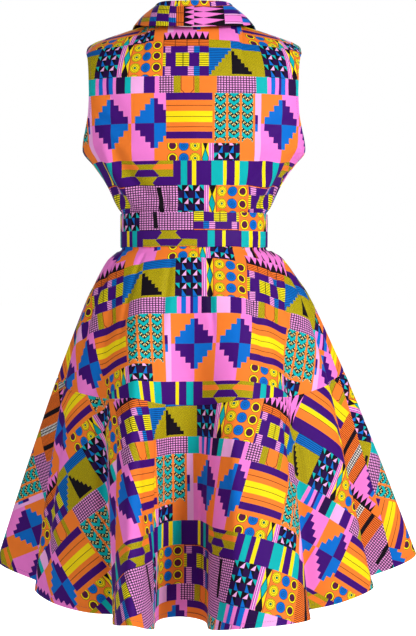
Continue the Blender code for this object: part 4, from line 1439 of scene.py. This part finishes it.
def beltBand():
    # The belt: its folded profile carried round the waist oval, a little wavy
    b = belt
    shares = np.linspace(-0.5, 0.5, b["ringCount"], endpoint=False)
    waist = waistRing(b["off"])
    line = along(waist, shares)
    tangent = unit(along(waist, shares + 0.0005) - line)
    outward = np.stack([-tangent[:, 1], tangent[:, 0]], -1)
    outward = outward * np.sign(np.sum(outward * line, -1, keepdims=True))
    across, out = foldedProfile(b["profileCount"], beltHalf, b["wall"])
    girth = b["girth"]
    folds = [(start * girth, low, end * girth, *rest) for start, low, end, *rest in b["folds"]]
    bump = creased(shares[:, None] * girth, across + beltHalf, folds)
    reach = out + np.where(out > 0, bump, 0)
    ripple = sum(depth * np.sin(shares * 2 * math.pi * waves + shift)
                 for depth, waves, shift in b["rippleRows"])
    points = np.empty((len(shares), len(across), 3))
    points[..., :2] = line[:, None] + outward[:, None] * reach[..., None]
    points[..., 2] = beltMiddle + across + ripple[:, None] * across / beltHalf
    # The belt is cut the other way up, with the edge of a print row along its middle, and both
    # faces of its fold carry the same cloth
    wrapped, level = np.meshgrid(np.append(shares, 0.5) * girth, np.append(across, across[0]),
                                 indexing="ij")
    return points, b["print"] - np.stack([wrapped, level], -1)


beltPoints, beltPlaces = beltBand()
beltPiece = piece(tubeMesh("beltBand", beltPoints, beltPlaces, True), (firmCotton,),
                  ("belt_band",))
print("belt made")


def beltKnot():
    # The knot: a soft block with a waist in its wraps and slanting pleats over it
    b = belt
    steep = math.pi / 2 - 0.02
    rise = np.linspace(-steep, steep, b["knotCount"][0])[:, None]
    turn = np.linspace(0, 2 * math.pi, b["knotCount"][1], endpoint=False)
    up = signedPower(np.sin(rise), b["knotSquare"])
    level = np.cos(rise) ** b["knotEnds"]
    x = level * signedPower(np.cos(turn), b["knotSquare"])
    y = level * signedPower(np.sin(turn), b["knotSquare"])
    wave = 0.5 - 0.5 * np.cos((up + x * b["pleatSlant"]) * b["pleatTurns"])
    pleat = 1 - b["pleatDepth"] * wave * (1 - up ** 4)
    narrow = 1 - b["knotWaist"] * np.abs(up) ** 1.5
    points = np.stack([x * b["knotWidth"] / 2 * narrow * pleat,
                       -b["knotBack"] + (y * pleat - 1) * b["knotDepth"] / 2,
                       beltMiddle + up * b["knotHeight"] / 2 + 0 * turn], -1)
    up, wrapped = np.meshgrid(up, np.append(turn, 2 * math.pi), indexing="ij")
    places = b["knotPrint"] + np.stack([wrapped, up], -1) * b["knotPrintScale"]
    return capped(points, places)


piece(tubeMesh("beltKnot", *beltKnot()), (firmCotton,), ("belt_knot",))


def beltTail(side):
    # One hanging end of the belt, which leaves the knot and lies on the front of the skirt
    b = belt
    first, last, low = b["tailPatch"]
    shares = np.linspace(first, last, 241)
    lengths = np.linspace(0, low, 201)
    cloth = skirtCloth(shares, lengths)
    rows, profile = b["tailCount"]
    down = np.linspace(0, 1, rows)[:, None]
    across, out = foldedProfile(profile, 0.5, b["wall"])
    widened = np.clip(down / b["wideAfter"], 0, 1) ** 0.8
    width = b["tailStart"] + (b["tailWidth"] - b["tailStart"]) * widened
    place = side * (b["spreadStart"] + b["spread"] * down ** 0.8) + width * across
    # The free end is cut slanting
    slanted = side * b["endSlant"] * width * across * down ** 6
    length = b["tailTop"] + b["tailLength"] * down - slanted
    girth = np.interp(length, lengths, steps(cloth, 1)[:, -1] / (last - first))
    column = (0.5 - first + place / girth) / (last - first) * (len(shares) - 1)
    row = length / low * (len(lengths) - 1)
    lift = b["tailLift"] + b["knotLift"] * np.exp(-(length - b["tailTop"]) / b["liftFade"])
    fold = creased(across * width, length, b["tailFolds"])
    reach = lift + out + np.where(out > 0, fold, 0)
    outward = sampled(normals(cloth), column, row)
    places = b["tailPrint"] + np.stack([width * np.append(across, across[0]),
                                        -b["tailLength"] * down + np.zeros(len(across) + 1)], -1)
    return capped(sampled(cloth, column, row) + outward * reach[..., None], places)


tailPieces = [piece(tubeMesh(name, *beltTail(side)), (firmCotton,), (node,))
              for side, name, node in ((1, "beltTailLeft", "belt_tail_left"),
                                       (-1, "beltTailRight", "belt_tail_right"))]
print("knot and tails made")


# The buttons

button = {
    "radius": 0.0057, "thick": 0.0026, "gap": 0.0004, "clothWall": 0.0015,
    "heights": (-0.150, -0.208, -0.266, -0.324),
    "rimWidth": 0.0011, "dish": 0.0006, "centre": 0.0001,
    "holeOff": 0.0012, "holeSize": 0.00046, "holeDepth": 0.0011,
    "slopeReach": 0.004,         # the cloth's slope is read so far above and below a button
    "threadRadius": 0.00030, "threadOver": 0.0003, "threadLift": 0.0001,
}


def plainMaterial(name, colour, roughness, specular):
    # One even colour
    return newMaterial(name, {"Base Color": colour, "Roughness": roughness,
                              "Specular IOR Level": specular})[0]


buttonFace = plainMaterial("buttonFace", (0.030, 0.012, 0.045, 1), 0.28, 0.5)
threadCotton = plainMaterial("threadCotton", (0.085, 0.012, 0.170, 1), 0.65, 0.2)


def buttonRings():
    # A dished disc with a round rim, drawn as rings from the middle of its face to the middle of
    # its back.  Four holes sink by d * exp(-(r / s)^4), r being the distance from each
    k = button
    radius = k["radius"]
    half = k["thick"] / 2
    inner = radius - k["rimWidth"]
    face = np.linspace(k["centre"], inner, 26)
    turn = np.linspace(math.pi / 2, -math.pi / 2, 15)
    rim = k["rimWidth"] / 2
    edge = radius - rim + rim * np.cos(turn)
    back = np.linspace(radius - rim, k["centre"], 5)[1:]
    sunk = half - k["dish"] * eased(inner + 0.0002, inner - 0.0006, face)
    away = np.concatenate([face, edge, back])
    level = np.concatenate([sunk, half * np.sin(turn), np.full(len(back), -half)])
    around = np.linspace(0, 2 * math.pi, 72, endpoint=False)[None, :]
    x = away[:, None] * np.cos(around)
    y = away[:, None] * np.sin(around)
    front = (np.arange(len(away)) < len(face))[:, None]
    far = np.hypot(np.abs(x) - k["holeOff"], np.abs(y) - k["holeOff"])
    z = level[:, None] - front * k["holeDepth"] * np.exp(-(far / k["holeSize"]) ** 4)
    return np.stack([x, y, z], -1)


def buttonFrame(height):
    # Middle of a button on the outer front, and its own axes: across, up the cloth and outwards
    k = button
    reach = k["slopeReach"]
    nearby = np.array([[height + reach], [height - reach]])
    depth = lowerCloth(np.array([[0.0]]), nearby, -1)[:, 0, 1]
    slope = math.atan2(depth[0] - depth[1], 2 * reach)
    axes = np.array([[1, 0, 0], [0, math.sin(slope), math.cos(slope)],
                     [0, -math.cos(slope), math.sin(slope)]])
    out = k["clothWall"] / 2 + k["gap"] + k["thick"] / 2
    return np.array([0, depth.mean(), height]) + out * axes[2], axes


def stitches(middles, tangents, outwards, length, radius):
    # Spindles of thread: rings whose radius is r sqrt(1 - t^2) along the length, t from -1 to 1
    t = np.array([-0.999, -0.8, 0.0, 0.8, 0.999])[None, :, None, None]
    around = np.linspace(0, 2 * math.pi, 6, endpoint=False)[None, None, :, None]
    side = np.cross(tangents, outwards)[:, None, None]
    size = radius * np.sqrt(1 - t ** 2)
    ringed = outwards[:, None, None] * np.cos(around) + side * np.sin(around)
    return middles[:, None, None] + tangents[:, None, None] * t * length / 2 + ringed * size


def threadMesh(name, rings):
    # One mesh of many spindles, the faces of the first repeated for all
    count, rows, columns = rings.shape[:3]
    quads, place = gridFaces(rows, columns, True)
    ends = np.array([[0, 1, 2, 3], [0, 3, 4, 5]])
    last = (rows - 1) * columns + ends[:, ::-1]
    quads = np.concatenate([quads, ends[:, ::-1], last[:, ::-1]])
    shift = (np.arange(count) * rows * columns)[:, None, None]
    quads = (quads[None] + shift).reshape(-1, 4)
    corners = rings.reshape(-1, 3)
    return meshFrom(name, corners, quads, corners[quads][..., ::2], np.zeros(len(quads)))


buttonThreads = []
rings = buttonRings()
for number, height in enumerate(button["heights"]):
    middle, axes = buttonFrame(height)
    places = np.concatenate([rings[..., :2], rings[:, :1, :2]], 1)
    mesh = tubeMesh("button%d" % (number + 1), *capped(middle + rings @ axes, places))
    piece(mesh, (buttonFace,), ("button_%d" % (number + 1),))
    off = button["holeOff"]
    level = button["thick"] / 2 - button["dish"] + button["threadLift"]
    for across in (-off, off):
        place = middle + np.array([[across, 0, level]]) @ axes
        buttonThreads.append(stitches(place, axes[1:2], axes[2:3],
                                      2 * (off + button["threadOver"]), button["threadRadius"]))
piece(threadMesh("buttonThreads", np.concatenate(buttonThreads)), (threadCotton,))
print("buttons made")


# Topstitching

stitching = {
    "pitch": 0.0046, "length": 0.0033, "radius": 0.00024, "lift": 0.00015,
    "tangentReach": 0.0008,      # a stitch's direction is read so far before and after its middle
    "armholeIn": 0.0058, "placketIn": 0.0056, "hemIn": 0.0085, "collarIn": 0.0048,
    "beltIn": 0.0040, "beltOut": (1.0, 1.9, 0.0),        # the oval's outward direction by place
    "seamRow": 3, "armholeFoot": -0.236,
}


def stitchLine(points, outwards):
    # Spindles one pitch apart along a line of points
    k = stitching
    run = steps(points, 0)
    places = np.arange(k["pitch"] / 2, run[-1], k["pitch"])
    reach = k["tangentReach"]
    tangents = unit(pointsAt(run, points, places + reach) - pointsAt(run, points, places - reach))
    return stitches(pointsAt(run, points, places), tangents,
                    unit(pointsAt(run, outwards, places)), k["length"], k["radius"])


def insetLine(grid, inset, facing, wall):
    # Line on a grid's outer face, a fixed distance in from its last row
    last = grid.shape[0] - 1
    row = last - inset / np.linalg.norm(grid[-1] - grid[-2], axis=-1)
    column = np.arange(grid.shape[1], dtype=float)
    outward = sampled(normals(grid) * facing, column, row)
    return sampled(grid, column, row) + outward * (wall / 2 + stitching["lift"]), outward


def bodiceStitches():
    # Round the armholes, and down the edge of the outer front.  Each panel's grid is turned so
    # that the sewn edge is its last row
    k = stitching
    wall = bodice["wall"] + bodice["turnedEdge"]
    back = np.swapaxes(backPoints, 0, 1)
    left, right = [np.swapaxes(frontGrids[side], 0, 1) for side in (1, -1)]
    lines = []
    for grid, facing in ((back, -1), (back[::-1], 1), (left, 1), (right, -1)):
        points, outward = insetLine(grid, k["armholeIn"], facing, wall)
        high = points[:, 2] > k["armholeFoot"]
        lines.append(stitchLine(points[high], outward[high]))
    lines.append(stitchLine(*insetLine(right[::-1], k["placketIn"], 1, wall)))
    return np.concatenate(lines)


def skirtStitches():
    # Along the hem, and under the tiers' seam
    k = stitching
    lines = []
    for thing, grid in skirtTiers[1::2]:
        lines.append(stitchLine(*insetLine(grid, k["hemIn"], 1, skirt["wall"] + skirt["hemExtra"])))
        outward = normals(grid)[k["seamRow"]]
        lines.append(stitchLine(grid[k["seamRow"]] + outward * (skirt["wall"] / 2 + k["lift"]),
                                outward))
    return np.concatenate(lines)


def trimStitches():
    # Along the collar's edge and along both edges of the belt
    k = stitching
    lines = [stitchLine(*insetLine(fallGrid, k["collarIn"], 1, collar["wall"]))]
    across, out = foldedProfile(beltPoints.shape[1], beltHalf, belt["wall"])
    for edge in (-beltHalf + k["beltIn"], beltHalf - k["beltIn"]):
        column = int(np.argmin(np.abs(across - edge) + (out < 0)))
        points = beltPoints[np.append(np.arange(len(beltPoints)), 0), column]
        outward = unit(points * k["beltOut"])
        lines.append(stitchLine(points + outward * k["lift"], outward))
    return np.concatenate(lines)


for name, rings, slotName in (("bodiceStitches", bodiceStitches(), "front_cloth"),
                              ("skirtStitches", skirtStitches(), "skirt_cloth"),
                              ("trimStitches", trimStitches(), "belt_cloth")):
    piece(threadMesh(name, rings), (threadCotton,))
print("stitches made")


# Each piece's grid goes through declareCloth, which works out its cells' diagonals and keeps nothing

declareCloth(backPoints)
for thing, side in zip(frontPieces, (1, -1)):
    declareCloth(frontGrids[side])
for thing, points in skirtTiers:
    declareCloth(points)
declareCloth(standGrid)
declareCloth(fallGrid)


# Floor, light and camera

studio = {
    "floorHeight": -1.42, "floorRadius": 40,
    "cameraPlace": (-0.0264, 2.6, -0.464), "focalLength": 78.0,
    "horizonShift": -43 / 636,     # the horizon lies 43 of 636 pixels above the middle
    # Light of the world and glow of the floor, for the dress and then for the camera
    "ambient": (0.21, 1.0), "floorGlow": (0.06, 0.95),
    # Place, target, size and power
    "lights": {
        "keyLight": ((-2.5, 2.6, 0.6), (0, 0, -0.40), 1.0, 110),
        "fillLight": ((2.4, 2.6, 0.6), (0, 0, -0.30), 2.2, 34),
        "frontLight": ((0.4, -3.2, 0.8), (0, 0, -0.50), 2.6, 45),
    },
}


def forCamera(board, values):
    # The first value for the dress's light, and the second one where the camera looks
    return board.mix(*values, board.wire("ShaderNodeLightPath", output="Is Camera Ray"))


def makeFloor():
    # A wide pale disc under the hem
    turn = np.linspace(0, 2 * math.pi, 96, endpoint=False)
    radius = studio["floorRadius"]
    corners = np.stack([radius * np.cos(turn), radius * np.sin(turn),
                        0 * turn + studio["floorHeight"]], -1)
    mesh = bpy.data.meshes.new("floor")
    mesh.from_pydata(corners.tolist(), [], [list(range(96))])
    material, board, surface = newMaterial("paleFloor", {
        "Base Color": (0.88, 0.88, 0.88, 1), "Emission Color": (1, 1, 1, 1), "Roughness": 0.9,
        "Specular IOR Level": 0.1})
    board.feed(surface, {"Emission Strength": forCamera(board, studio["floorGlow"])})
    mesh.materials.append(material)
    placed("floor", mesh)


def makeWorld():
    # White all round for the camera, and a softer even light on the dress
    world = bpy.data.worlds.new("studio")
    world.use_nodes = True
    board = Board(world.node_tree)
    board.feed(board.tree.nodes["Background"], {
        "Color": (1, 1, 1, 1), "Strength": forCamera(board, studio["ambient"])})
    bpy.context.scene.world = world


def makeLight(name, place, target, size, power):
    # A square soft light that faces the target
    data = bpy.data.lights.new(name, "AREA")
    data.size = size
    data.energy = power
    light = placed(name, data)
    light.location = place
    gaze = np.array(target) - np.array(place)
    light.rotation_euler = (math.atan2(math.hypot(gaze[0], gaze[1]), -gaze[2]), 0,
                            math.atan2(gaze[1], gaze[0]) - math.pi / 2)


def makeCamera():
    # Level, looking at the back of the dress
    data = bpy.data.cameras.new("camera")
    data.lens = studio["focalLength"]
    data.sensor_width = 36.0
    data.shift_y = studio["horizonShift"]
    data.clip_end = 200
    camera = placed("camera", data)
    camera.location = studio["cameraPlace"]
    camera.rotation_euler = (math.pi / 2, 0, math.pi)
    bpy.context.scene.camera = camera


makeFloor()
makeWorld()
for name, values in studio["lights"].items():
    makeLight(name, *values)
makeCamera()
bpy.context.scene.view_settings.view_transform = "Standard"
bpy.context.scene.view_settings.look = "None"
print("studio made")
